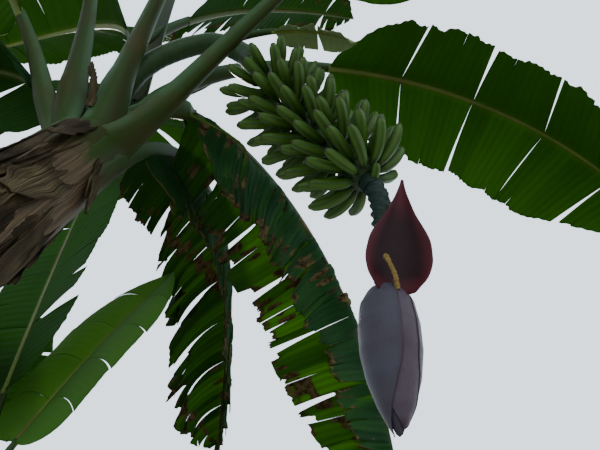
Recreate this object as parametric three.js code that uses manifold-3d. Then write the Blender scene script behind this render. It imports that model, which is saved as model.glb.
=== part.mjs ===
// A banana plant in fruit: a leaning main stem with a crown of torn leaves, a bunch of green fingers
// that ends in a purple bell, and a younger sucker from the same root. Millimetres, +Z up, with the
// origin in the middle of the flat cut under the main stem.
import * as THREE from "three";
import { mergeVertices } from "three/addons/utils/BufferGeometryUtils.js";
import Module from "manifold-3d";

// Stems
const CROWN = new THREE.Vector3(670, 890, 2665);
const STEM_BOW = new THREE.Vector3(390, 410, 1330);
const STEM_RADII = [[0, 205], [120, 165], [320, 137], [900, 122], [1500, 112], [2100, 99], [2500, 90], [2665, 86]];
const CROWN_CONE = [[90, 72], [180, 46]];
const SUCKER_FOOT = new THREE.Vector3(20, 325, 0);
const SUCKER_BOW = new THREE.Vector3(140, 1080, 900);
const SUCKER_CROWN = new THREE.Vector3(250, 1540, 1850);
const SUCKER_RADII = [[0, 135], [90, 112], [250, 96], [700, 86], [1200, 74], [1650, 62], [1850, 57]];
const SUCKER_CONE = [[60, 46], [120, 28]];
const STEM_SIDES = 12;

// Leaves
const GAP = 0.35;
const CLEARANCE = 0.35;
const CLASP = 250;
const SUCKER_CLASP = 170;
const PETIOLE_FOOT_HALF = 44;
const PETIOLE_HALF = 23;
const MIDRIB_HALF = 15;
const MIDRIB_TIP_HALF = 4;
const BLADE_THICK = 6;
const EDGE_STEP = 7;
const TEAR_REACH = 8;
const WALK_STEPS = 60;
const ACROSS_STEPS = 8;
const LEAF = {
  bend: 1.6, swing: 0, foot: [0, 0, 0], stalk: 0.22, half: 310, foldLeft: -5, foldRight: -5,
  hang: 0.3, roll: 0, sweep: 15, tears: 5, split: 0, seed: 1, droop: 0.5, open: 0.05,
};
// Angles in degrees: heading is the compass direction from +X, rise and fall the slope of the rib at
// its foot and its tip. A fold is the slope of that half from the rib, and hang pulls it downwards.
const LEAVES = {
  right: { heading: 22, rise: 90, fall: -80, bend: 0.8, swing: -27, length: 2200, foot: [100, 0, 20],
    stalk: 0.4, half: 330, foldLeft: -70, foldRight: -28, hang: 0.02, roll: -6, sweep: 4, split: 3, seed: 11 },
  back_right: { heading: 41, rise: 92, fall: 15, bend: 1.1, swing: -22, length: 1800, foot: [-30, 5, 30],
    stalk: 0.47, half: 250, foldLeft: 35, foldRight: 0, seed: 12, tears: 6 },
  overhead: { heading: 122, rise: 92, fall: -5, bend: 1.1, swing: 45, length: 2500, foot: [20, 75, 60],
    stalk: 0.37, half: 300, foldLeft: 40, foldRight: 41, hang: 0.33, seed: 13 },
  arching: { heading: 55, rise: 92, fall: -91, bend: 0.51, swing: -6, length: 1980, foot: [120, -57, 60],
    stalk: 0.14, half: 328, foldLeft: -38, foldRight: -88, hang: 0, sweep: 0, split: 3, seed: 14, tears: 7 },
  weeping: { heading: 61, rise: 83, fall: -85, bend: 0.78, swing: 45, length: 1810, foot: [60, 40, -60],
    stalk: 0.31, half: 350, foldLeft: -16, foldRight: -75, hang: 0.6, roll: 9, sweep: 29, split: 3, seed: 15, tears: 7 },
  low_left: { heading: 166, rise: 79, fall: -61, bend: 1.15, length: 1840, foot: [-67, 35, -60],
    stalk: 0.14, half: 298, foldLeft: -20, foldRight: -76, hang: 0.22, roll: 16, sweep: 19, split: 3, seed: 16 },
  front_left: { heading: -107, rise: 84, fall: -38, bend: 1.9, length: 2500, foot: [-70, -33, -24],
    stalk: 0.28, split: 3, seed: 17 },
  front: { heading: -50, rise: 75, fall: -36, bend: 1.5, length: 2500, foot: [26, -24, 0],
    stalk: 0.27, split: 3, seed: 18 },
  front_right: { heading: -25, rise: 46, fall: -30, bend: 1.9, swing: -4, length: 2600, foot: [85, -4, -26],
    stalk: 0.3, roll: 8, split: 3, seed: 29 },
  upright: { heading: 90, rise: 89, fall: 74, bend: 1.9, length: 2200, foot: [72, 42, 20], half: 150,
    stalk: 0.56, foldLeft: 40, foldRight: 40, hang: 0.1, tears: 4, seed: 20 },
  back_left: { heading: 112, rise: 74, fall: -30, bend: 1.9, length: 2400, foot: [0, 95, -30], split: 3, seed: 21 },
  left: { heading: 218, rise: 70, fall: -45, bend: 1.4, length: 2400, foot: [-85, 10, -40], split: 3, seed: 22 },
};
const FLAG = { heading: -15, rise: 8, fall: -52, bend: 1.1, swing: 3, length: 470, foot: [308, -47, 423],
  stalk: 0.38, half: 52, foldLeft: -25, foldRight: -30, tears: 2, seed: 31 };
const SUCKER_LEAVES = {
  sucker_upright: { heading: 61, rise: 88, fall: 80, bend: 2.1, swing: 24, length: 1590, foot: [75, -26, 0],
    half: 253, stalk: 0.27, foldLeft: 5, foldRight: 7, hang: 0.16, roll: -14, tears: 5, seed: 41 },
  sucker_right: { heading: -3, rise: 66, fall: 54, bend: 1.3, swing: 8, length: 1020, foot: [40, -25, -10],
    stalk: 0.3, half: 265, foldLeft: 30, foldRight: -9, hang: 0.45, roll: 30, sweep: 10, seed: 42 },
  sucker_left: { heading: 192, rise: 80, fall: -30, length: 1700, foot: [-40, 10, 0], half: 250, seed: 43 },
  sucker_front: { heading: 250, rise: 75, fall: -40, bend: 1.5, length: 1700, foot: [-20, -40, 0], half: 250, seed: 44 },
  sucker_back: { heading: 128, rise: 78, fall: -10, bend: 1.8, length: 1700, foot: [-20, 50, 0], half: 230,
    foldLeft: 25, foldRight: 25, tears: 4, seed: 45 },
};

// Bunch: the stalk arches out of the crown and hangs, with hands, a bare tail and a bell on it
const STALK_PATH = [
  [700, 940, 2790], [722, 880, 2890], [772, 856, 2985], [850, 846, 3050], [960, 845, 3096], [1052, 834, 3030],
  [1124, 814, 2889], [1207, 812, 2713], [1337, 803, 2524], [1398, 797, 2417], [1406, 795, 2300], [1396, 795, 2150],
];
const STALK_HALF = [31, 24];
const TAIL_HALF = [23, 18];
const HANDS = 5;
const HAND_SPAN = [0.535, 0.785];
const STALK_JOINT = 0.43;
const HAND_FINGERS = [11, 11];
const FINGER_LENGTH = [118, 121];
const FINGER_HALF = [15, 14];
const FINGER_SWELL = [[0, 0.6], [0.22, 0.95], [0.6, 1.04], [0.88, 0.78], [1, 0.32]];
const FINGER_RISE = [-8, 42];
const COLLAR_HALF = 44;
const COLLAR_HEIGHT = 56;
const ROW_STEP = 32;
const FINGER_ROOT = 30;
const TAIL_START = 0.82;
const BELL_TOP = new THREE.Vector3(1396, 795, 2150);
const BELL_TIP = new THREE.Vector3(1392, 799, 1861);
const BELL_PROFILE = [[0, 16], [0.04, 34], [0.14, 50], [0.3, 56], [0.48, 55], [0.66, 46], [0.82, 31], [0.93, 15], [1, 4]];
const BRACT_FOOT = new THREE.Vector3(1408, 768, 2116);
const BRACT_TIP = new THREE.Vector3(1453, 757, 2410);
const BRACT_HALF = 66;
const BRACT_CUP = 34;
const BRACT_THICK = 5;

const SHADES = {
  stem: "#6b5a41", petiole: "#5f7f52", blade: "#2f5a1e", dry: "#5a4632", stalk: "#4f7038",
  finger: "#4d7a33", bell: "#6a5666", bract: "#4b1c26",
};

const wasm = await Module();
wasm.setup();
const DOWN = new THREE.Vector3(0, 0, -1);

// Small helpers
const radians = THREE.MathUtils.degToRad;
const mix = THREE.MathUtils.lerp;
const along = (list, share) => {
  const place = Math.min(Math.max(share, 0), 1) * (list.length - 1);
  const index = Math.min(Math.floor(place), list.length - 2);
  return list[index].clone().lerp(list[index + 1], place - index);
};

// A repeatable run of numbers from 0 to 1
function dice(seed) {
  let state = seed >>> 0;
  return () => {
    state = (state + 0x6d2b79f5) >>> 0;
    let mixed = Math.imul(state ^ (state >>> 15), state | 1);
    mixed ^= mixed + Math.imul(mixed ^ (mixed >>> 7), mixed | 61);
    return ((mixed ^ (mixed >>> 14)) >>> 0) / 4294967296;
  };
}

// A closed skin over rings of equal count, each end capped from one side of its ring to the other
function loft(rings) {
  const sides = rings[0].length;
  const positions = rings.flat().flatMap((point) => [point.x, point.y, point.z]);
  const faces = [];
  for (let ring = 0; ring < rings.length - 1; ring++) {
    for (let side = 0; side < sides; side++) {
      const a = ring * sides + side;
      const b = ring * sides + ((side + 1) % sides);
      faces.push(a, b, b + sides, a, b + sides, a + sides);
    }
  }
  const last = (rings.length - 1) * sides;
  for (let a = 0; 2 * a < sides - 2; a++) {
    const [b, c, d] = [a + 1, sides - 2 - a, sides - 1 - a];
    faces.push(d, c, a, last + a, last + c, last + d);
    if (b !== c) faces.push(c, b, a, last + a, last + b, last + c);
  }
  const geometry = new THREE.BufferGeometry();
  geometry.setAttribute("position", new THREE.Float32BufferAttribute(positions, 3));
  geometry.setIndex(faces);
  return geometry;
}

// A three.js geometry as a solid that can be joined and cut, with its faces turned outwards
function solid(geometry) {
  const bare = geometry.clone();
  bare.deleteAttribute("normal");
  bare.deleteAttribute("uv");
  const merged = mergeVertices(bare, 1e-3);
  const vertProperties = new Float32Array(merged.attributes.position.array);
  const corners = Array.from(merged.index.array);
  const faces = corners.filter((_, index) => {
    const [a, b, c] = corners.slice(index - (index % 3), index - (index % 3) + 3);
    return a !== b && b !== c && a !== c;
  });
  const made = new wasm.Manifold(new wasm.Mesh({ numProp: 3, vertProperties, triVerts: new Uint32Array(faces) }));
  if (made.volume() > 0) return made;
  return new wasm.Manifold(new wasm.Mesh({ numProp: 3, vertProperties, triVerts: new Uint32Array(faces.reverse()) }));
}

const joined = (solids) => solids.reduce((sum, next) => sum.add(next));

// A solid with a thin clearance round it
const SIGNS = [-CLEARANCE, CLEARANCE];
const SHIFTS = SIGNS.flatMap((x) => SIGNS.flatMap((y) => SIGNS.map((z) => [x, y, z])));
const swollen = (shape) => joined([shape, ...SHIFTS.map((shift) => shape.translate(shift))]);

// The largest piece of a solid, so that a cut leaves no scrap
function largest(made) {
  return made.decompose().sort((a, b) => b.volume() - a.volume())[0];
}

// Round rings along a list of stations {at, right, up, half}
function ringRound(station, shape) {
  return shape.map(([x, y]) => station.at.clone()
    .addScaledVector(station.right, x * station.half)
    .addScaledVector(station.up, y * station.half));
}
const circle = (sides) => Array.from({ length: sides }, (_, side) => {
  const turn = (2 * Math.PI * (side + 0.5)) / sides;
  return [Math.cos(turn), Math.sin(turn)];
});
const PETIOLE_SHAPE = [[1, 0.5], [0.25, 0.1], [-0.25, 0.1], [-1, 0.5], [-0.75, -0.4], [0, -0.8], [0.75, -0.4]];
const CLASP_SHAPE = [[1, 0.4], [-1, 0.4], [-0.75, -0.5], [0, -0.8], [0.75, -0.5]];

// The leaf rule: a rib that leaves its foot at one slope and heading and bends to another
function ribOf(given, crown) {
  const leaf = { ...LEAF, ...given };
  const frame = (share) => {
    const slope = radians(leaf.rise + (leaf.fall - leaf.rise) * share ** leaf.bend);
    const heading = radians(leaf.heading + leaf.swing * share);
    const forward = new THREE.Vector3(
      Math.cos(slope) * Math.cos(heading), Math.cos(slope) * Math.sin(heading), Math.sin(slope));
    const across = new THREE.Vector3(-Math.sin(heading), Math.cos(heading), 0);
    const normal = forward.clone().cross(across);
    const roll = radians(leaf.roll);
    const left = across.clone().multiplyScalar(Math.cos(roll)).addScaledVector(normal, Math.sin(roll));
    const up = normal.multiplyScalar(Math.cos(roll)).addScaledVector(across, -Math.sin(roll));
    return { forward, left, up };
  };
  const points = [crown.clone().add(new THREE.Vector3(...leaf.foot))];
  for (let step = 0; step < WALK_STEPS; step++) {
    const { forward } = frame((step + 0.5) / WALK_STEPS);
    points.push(points[step].clone().addScaledVector(forward, leaf.length / WALK_STEPS));
  }
  return { ...leaf, frame, at: (share) => along(points, share) };
}

// Half the blade's width, as a share of the widest, at a share of the way from its foot to its tip
function outline(share) {
  const foot = Math.sqrt(1 - (1 - Math.min(share / 0.16, 1)) ** 2);
  return foot * Math.max(1 - Math.max((share - 0.55) / 0.45, 0) ** 2.3, 0);
}

// The way one half of the blade leaves the rib, before it sags
function wayOut(rib, share, side, turn) {
  const { forward, left, up } = rib.frame(share);
  const fold = radians((side > 0 ? rib.foldLeft : rib.foldRight) + turn);
  const sweep = radians(rib.sweep);
  return left.clone().multiplyScalar(side * Math.cos(fold) * Math.cos(sweep))
    .addScaledVector(up, Math.sin(fold) * Math.cos(sweep))
    .addScaledVector(forward, Math.sin(sweep));
}

// A point of one half of the blade, at a share along the rib and a share of the way to the margin
function bladePoint(rib, share, side, out, lobe) {
  const start = wayOut(rib, share, side, lobe.fold);
  const width = Math.max(rib.half * outline((share - rib.stalk) / (1 - rib.stalk)), 10);
  const point = rib.at(share);
  for (let step = 0; step < ACROSS_STEPS; step++) {
    const part = Math.min(Math.max(out * ACROSS_STEPS - step, 0), 1);
    const pull = Math.min(Math.max((rib.hang + lobe.hang) * ((step + 0.5) / ACROSS_STEPS), 0), 0.95);
    const way = start.clone().multiplyScalar(1 - pull).addScaledVector(DOWN, pull).normalize();
    point.addScaledVector(way, (width / ACROSS_STEPS) * part);
  }
  return point;
}

// The places where a half is torn to the rib, and how each lobe between them sags
function lobesOf(rib, side) {
  const roll = dice(rib.seed * 977 + (side > 0 ? 0 : 53));
  return Array.from({ length: rib.tears }, (_, index) => ({
    from: mix(rib.stalk, 1, index / rib.tears),
    to: mix(rib.stalk, 1, (index + 1) / rib.tears),
    fold: (roll() - 0.5) * 14 * rib.droop,
    hang: (roll() - 0.4) * 0.3 * rib.droop,
    open: rib.open * (0.5 + roll()),
  }));
}

// The outer two points of one half of a ring across the blade: wide on a lobe, and one narrow point at a tear
function halfRing(rib, share, side, lobe, trim, ribHalf) {
  const way = wayOut(rib, share, side, 0);
  const points = [0.5, 1].map((out) => lobe
    ? bladePoint(rib, share + trim * out, side, out, lobe)
    : rib.at(share).addScaledVector(way, ribHalf + TEAR_REACH));
  const outward = lobe ? points[1].clone().sub(points[0]).normalize() : way;
  const normal = rib.frame(share).forward.clone().cross(outward).multiplyScalar(side).normalize();
  return points.map((point) => [point, normal]);
}

// A closed ring across the blade: the top from the left margin to the right, then the underside with its keel
function bladeRing(rib, share, halves, ribHalf) {
  const thick = BLADE_THICK / 2;
  const { up } = rib.frame(share);
  const middle = rib.at(share);
  const offset = (sign) => ([point, normal]) => point.clone().addScaledVector(normal, sign * thick);
  const [leftHalf, rightHalf] = halves;
  return [
    offset(1)(leftHalf[1]), offset(1)(leftHalf[0]),
    middle.clone().addScaledVector(up, ribHalf * 0.3),
    offset(1)(rightHalf[0]), offset(1)(rightHalf[1]),
    offset(-1)(rightHalf[1]), offset(-1)(rightHalf[0]),
    middle.clone().addScaledVector(up, -ribHalf * 1.1),
    offset(-1)(leftHalf[0]), offset(-1)(leftHalf[1]),
  ];
}

// A tapered tube on the rib between two shares of its length
function ribSolid(rib, from, to, halfFrom, halfTo, shape, steps) {
  const stations = Array.from({ length: steps + 1 }, (_, index) => {
    const share = mix(from, to, index / steps);
    const { left, up } = rib.frame(Math.min(Math.max(share, 0), 1));
    return { at: rib.at(share), right: left, up, half: mix(halfFrom, halfTo, index / steps) };
  });
  return solid(loft(stations.map((station) => ringRound(station, shape))));
}

// A petiole runs from the clasp round the stem to the foot of the blade
function petioleSolid(rib, clasp, size) {
  const from = clasp / rib.length + GAP / rib.length;
  const steps = Math.max(3, Math.round((rib.stalk - from) * 12));
  return ribSolid(rib, from, rib.stalk, PETIOLE_HALF * 1.25 * size, PETIOLE_HALF * 0.75 * size, PETIOLE_SHAPE, steps);
}
function claspSolid(rib, clasp, size) {
  return ribSolid(rib, 0, clasp / rib.length, PETIOLE_FOOT_HALF * size, PETIOLE_HALF * 1.25 * size, CLASP_SHAPE, 1);
}

// A blade, or the part of it between two of its tears: its outline goes in to the rib at each tear
function bladeSolid(rib, first, last, size) {
  const halves = [1, -1].map((side) => ({ side, lobes: lobesOf(rib, side) }));
  const span = (share) => mix(MIDRIB_HALF, MIDRIB_TIP_HALF, (share - rib.stalk) / (1 - rib.stalk)) * size;
  const tear = (share) => bladeRing(rib, share, halves.map(({ side }) =>
    halfRing(rib, share, side, null, 0, span(share))), span(share));
  const rings = [tear(mix(rib.stalk, 1, first / rib.tears) + GAP / rib.length)];
  for (let index = first; index < last; index++) {
    const { from, to } = halves[0].lobes[index];
    for (const [edge, sign] of [[from, 1], [to, -1]]) {
      rings.push(bladeRing(rib, edge + sign * EDGE_STEP / rib.length, halves.map(({ side, lobes }) => {
        const trim = sign * ((to - from) * lobes[index].open);
        return halfRing(rib, edge + sign * EDGE_STEP / rib.length, side, lobes[index], trim, span(edge));
      }), span(edge)));
    }
    rings.push(tear(to));
  }
  return solid(loft(rings));
}

// A stem of flat rings from the ground to its crown, closed by the cone of the youngest sheaths
function stemSolid(axis, radii, cone) {
  const height = axis.getPoint(1).z;
  const rings = radii.map(([level, radius]) => {
    const place = axis.getPoint(level / height);
    const slope = axis.getTangent(level / height);
    const lean = new THREE.Vector3(slope.x, slope.y, 0).normalize();
    const side = new THREE.Vector3(-lean.y, lean.x, 0);
    return { place, lean, side, long: radius / slope.z, wide: radius };
  });
  const top = rings.at(-1);
  const slope = axis.getTangent(1);
  cone.forEach(([rise, radius]) => rings.push({
    place: top.place.clone().addScaledVector(slope, rise),
    lean: top.lean, side: top.side, long: radius, wide: radius,
  }));
  return solid(loft(rings.map(({ place, lean, side, long, wide }) => circle(STEM_SIDES).map(([x, y]) =>
    place.clone().addScaledVector(lean, x * long).addScaledVector(side, y * wide)))));
}

// Stations on a curve, with axes that don't twist, between two shares of its length
function stationsOn(curve, from, to, halfFrom, halfTo, steps) {
  return Array.from({ length: steps + 1 }, (_, index) => {
    const share = mix(from, to, index / steps);
    const forward = curve.getTangentAt(share);
    const right = new THREE.Vector3(0, -1, 0).addScaledVector(forward, forward.y).normalize();
    const up = right.clone().cross(forward);
    return { at: curve.getPointAt(share), forward, right, up: up.negate(), half: mix(halfFrom, halfTo, index / steps) };
  });
}
function tubeSolid(curve, from, to, halfFrom, halfTo, steps, sides) {
  const stations = stationsOn(curve, from, to, halfFrom, halfTo, steps);
  return solid(loft(stations.map((station) => ringRound(station, circle(sides)))));
}

// A finger leaves the stalk outwards and curves up towards the crown
function fingerSolid(station, turn, length, half, lift) {
  const out = station.right.clone().multiplyScalar(Math.cos(turn)).addScaledVector(station.up, Math.sin(turn));
  const back = station.forward.clone().negate();
  const side = out.clone().cross(back);
  const wayAt = (share) => {
    const rise = radians(mix(FINGER_RISE[0], FINGER_RISE[1], share));
    return out.clone().multiplyScalar(Math.cos(rise)).addScaledVector(back, Math.sin(rise));
  };
  const point = station.at.clone().addScaledVector(out, FINGER_ROOT).addScaledVector(back, lift);
  const rings = FINGER_SWELL.map(([share, swell], index) => {
    const before = index ? FINGER_SWELL[index - 1][0] : 0;
    point.addScaledVector(wayAt((share + before) / 2), length * (share - before));
    const up = side.clone().cross(wayAt(share)).negate();
    return ringRound({ at: point.clone(), right: side, up, half: half * swell }, circle(5));
  });
  return solid(loft(rings));
}

// A hand is a collar on the stalk with two rows of fingers
function handSolid(curve, index) {
  const share = index / (HANDS - 1);
  const place = mix(HAND_SPAN[0], HAND_SPAN[1], share);
  const length = curve.getLength();
  const collar = tubeSolid(curve, place - COLLAR_HEIGHT / 2 / length, place + COLLAR_HEIGHT / 2 / length,
    COLLAR_HALF - 4, COLLAR_HALF, 1, 10);
  const count = Math.round(mix(HAND_FINGERS[0], HAND_FINGERS[1], share));
  const [station] = stationsOn(curve, place, place, 1, 1, 1);
  const roll = dice(500 + index);
  const fingers = [];
  for (let row = 0; row < 2; row++) {
    for (let finger = 0; finger < count; finger++) {
      const turn = (2 * Math.PI * (finger + row / 2 + 0.2 * (roll() - 0.5))) / count + index * 0.9;
      const size = mix(FINGER_LENGTH[0], FINGER_LENGTH[1], share) * (0.93 + 0.1 * roll());
      fingers.push(fingerSolid(station, turn, size, mix(FINGER_HALF[0], FINGER_HALF[1], share), (row - 0.5) * ROW_STEP));
    }
  }
  return joined([collar, ...fingers]);
}

// The bell hangs on the tail
function bellSolid() {
  const axis = BELL_TIP.clone().sub(BELL_TOP);
  const points = [new THREE.Vector2(0, 0)];
  BELL_PROFILE.forEach(([share, radius]) => points.push(new THREE.Vector2(radius, -share * axis.length())));
  points.push(new THREE.Vector2(0, -axis.length()));
  points.reverse();
  const geometry = new THREE.LatheGeometry(points, 14);
  geometry.rotateX(Math.PI / 2);
  geometry.applyQuaternion(new THREE.Quaternion().setFromUnitVectors(DOWN, axis.clone().normalize()));
  geometry.translate(BELL_TOP.x, BELL_TOP.y, BELL_TOP.z);
  return solid(geometry);
}

// The lifted bract is a cupped oval plate in front of the tail, with its hollow turned away from it
function bractSolid() {
  const axis = BRACT_TIP.clone().sub(BRACT_FOOT);
  const right = new THREE.Vector3(1, 0, 0).addScaledVector(axis, -axis.x / axis.lengthSq()).normalize();
  const front = right.clone().cross(axis).normalize().negate();
  const widths = [[0, 0.45], [0.06, 0.8], [0.2, 0.98], [0.38, 0.9], [0.52, 0.68], [0.66, 0.4], [0.82, 0.19], [1, 0.05]];
  const rings = widths.map(([share, width]) => {
    const middle = BRACT_FOOT.clone().addScaledVector(axis, share);
    const arc = [-1, -0.5, 0, 0.5, 1].map((x) => middle.clone()
      .addScaledVector(right, x * width * BRACT_HALF)
      .addScaledVector(front, -x * x * width * BRACT_CUP));
    const shift = front.clone().multiplyScalar(BRACT_THICK / 2);
    return [...arc.map((point) => point.clone().add(shift)), ...arc.reverse().map((point) => point.clone().sub(shift))];
  });
  return solid(loft(rings.map((ring) => ring.reverse())));
}

// Every node with its colour and the way to make it
const nodes = [];
const add = (name, shade, make) => nodes.push({ name, shade, make });

const stemAxis = new THREE.QuadraticBezierCurve3(new THREE.Vector3(0, 0, 0), STEM_BOW, CROWN);
const suckerAxis = new THREE.QuadraticBezierCurve3(SUCKER_FOOT, SUCKER_BOW, SUCKER_CROWN);
const stalk = new THREE.CatmullRomCurve3(STALK_PATH.map((point) => new THREE.Vector3(...point)), false, "centripetal");
const ribs = Object.entries(LEAVES).map(([name, leaf]) => [name, ribOf(leaf, CROWN), CLASP, 1]);
const suckerRibs = Object.entries(SUCKER_LEAVES).map(([name, leaf]) => [name, ribOf(leaf, SUCKER_CROWN), SUCKER_CLASP, 0.75]);
const flag = ribOf(FLAG, CROWN);
const SEAM = GAP / stalk.getLength();

add("main_stem", "stem", () => joined([stemSolid(stemAxis, STEM_RADII, CROWN_CONE),
  ...ribs.map(([, rib, clasp, size]) => claspSolid(rib, clasp, size))]));
add("sucker_stem", "stem", () => joined([stemSolid(suckerAxis, SUCKER_RADII, SUCKER_CONE),
  ...suckerRibs.map(([, rib, clasp, size]) => claspSolid(rib, clasp, size))]));
[...ribs, ...suckerRibs].forEach(([name, rib, clasp, size]) => {
  add("petiole_" + name, "petiole", () => petioleSolid(rib, clasp, size));
});
add("bunch_stalk_upper", "stalk", () => tubeSolid(stalk, 0, STALK_JOINT, STALK_HALF[0], STALK_HALF[0], 8, 8));
add("bunch_stalk_lower", "stalk", () => tubeSolid(stalk, STALK_JOINT + SEAM, TAIL_START, STALK_HALF[0], STALK_HALF[1], 6, 8));
add("bunch_tail", "stalk", () => tubeSolid(stalk, TAIL_START + SEAM, 1, TAIL_HALF[0], TAIL_HALF[1], 4, 8));
for (let index = 0; index < HANDS; index++) add("hand_" + (index + 1), "finger", () => handSolid(stalk, index));
add("bell", "bell", bellSolid);
add("lifted_bract", "bract", bractSolid);
[...ribs, ...suckerRibs].forEach(([name, rib, , size]) => {
  const shade = name === "weeping" ? "dry" : "blade";
  const last = rib.split || rib.tears;
  add("blade_" + name, shade, () => bladeSolid(rib, 0, last, size));
  if (rib.split) add("blade_" + name + "_outer", shade, () => bladeSolid(rib, rib.split, rib.tears, size));
});
add("flag_petiole", "petiole", () => petioleSolid(flag, 0, 0.5));
add("flag_leaf", "blade", () => bladeSolid(flag, 0, flag.tears, 0.5));

const boxesMeet = (a, b) => [0, 1, 2].every((axis) => a.min[axis] <= b.max[axis] + 1 && b.min[axis] <= a.max[axis] + 1);
const made = [];
for (const node of nodes) {
  let shape = node.make();
  for (const earlier of made) {
    if (!boxesMeet(shape.boundingBox(), earlier.box)) continue;
    if (shape.minGap(earlier.solid, 1) < 0.3) shape = shape.subtract(swollen(earlier.solid));
  }
  shape = largest(shape);
  made.push({ ...node, solid: shape, box: shape.boundingBox() });
}

const group = new THREE.Group();
for (const { name, shade, solid: shape } of made) {
  const mesh = shape.getMesh();
  const geometry = new THREE.BufferGeometry();
  const positions = new Float32Array(mesh.numVert * 3);
  for (let vertex = 0; vertex < mesh.numVert; vertex++) {
    const start = vertex * mesh.numProp;
    positions.set(mesh.vertProperties.subarray(start, start + 3), vertex * 3);
  }
  geometry.setAttribute("position", new THREE.BufferAttribute(positions, 3));
  geometry.setIndex(new THREE.BufferAttribute(mesh.triVerts, 1));
  const material = new THREE.MeshStandardMaterial({ color: SHADES[shade], roughness: 0.6, metalness: 0 });
  const part = new THREE.Mesh(geometry, material);
  part.name = name;
  group.add(part);
}

export default group;
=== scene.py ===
# The looks of a banana plant in fruit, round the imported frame: two stems wrapped in sheaths, channelled
# leaf stalks, torn and pleated blades grown by the same rule as the solids, and the hanging bunch.
import math

import bpy
import numpy as np
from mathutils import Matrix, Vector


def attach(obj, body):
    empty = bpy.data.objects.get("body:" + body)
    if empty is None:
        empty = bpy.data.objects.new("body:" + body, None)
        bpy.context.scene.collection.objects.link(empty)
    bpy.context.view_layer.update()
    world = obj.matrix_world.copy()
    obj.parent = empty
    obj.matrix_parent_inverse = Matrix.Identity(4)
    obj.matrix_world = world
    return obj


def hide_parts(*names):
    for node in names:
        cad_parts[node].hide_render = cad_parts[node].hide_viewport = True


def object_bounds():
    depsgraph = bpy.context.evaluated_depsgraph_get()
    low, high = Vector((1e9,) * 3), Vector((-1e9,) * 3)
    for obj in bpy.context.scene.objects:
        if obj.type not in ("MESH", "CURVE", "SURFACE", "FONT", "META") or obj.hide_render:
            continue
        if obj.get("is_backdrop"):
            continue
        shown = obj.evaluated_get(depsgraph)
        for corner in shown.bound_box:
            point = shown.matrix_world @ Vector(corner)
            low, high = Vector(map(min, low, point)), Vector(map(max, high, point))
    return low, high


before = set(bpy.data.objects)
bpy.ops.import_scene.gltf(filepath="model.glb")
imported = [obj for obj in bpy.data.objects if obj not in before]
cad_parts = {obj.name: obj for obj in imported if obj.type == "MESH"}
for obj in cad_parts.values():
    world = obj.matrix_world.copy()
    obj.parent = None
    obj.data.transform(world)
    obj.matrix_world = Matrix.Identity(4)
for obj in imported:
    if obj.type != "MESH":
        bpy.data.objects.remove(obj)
cad_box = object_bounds()

MM = 0.001
DOWN = np.array([0.0, 0.0, -1.0])

# Stems, in millimetres
CROWN = (670, 890, 2665)
STEM_CURVE = [(0, 0, 0), (390, 410, 1330), CROWN]
STEM_RADII = [(0, 205), (120, 165), (320, 137), (900, 122), (1500, 112), (2100, 99), (2500, 90), (2665, 86)]
STEM_CONE = [(90, 72), (180, 46)]
SUCKER_CROWN = (250, 1540, 1850)
SUCKER_CURVE = [(20, 325, 0), (140, 1080, 900), SUCKER_CROWN]
SUCKER_RADII = [(0, 135), (90, 112), (250, 96), (700, 86), (1200, 74), (1650, 62), (1850, 57)]
SUCKER_CONE = [(60, 46), (120, 28)]

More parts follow.
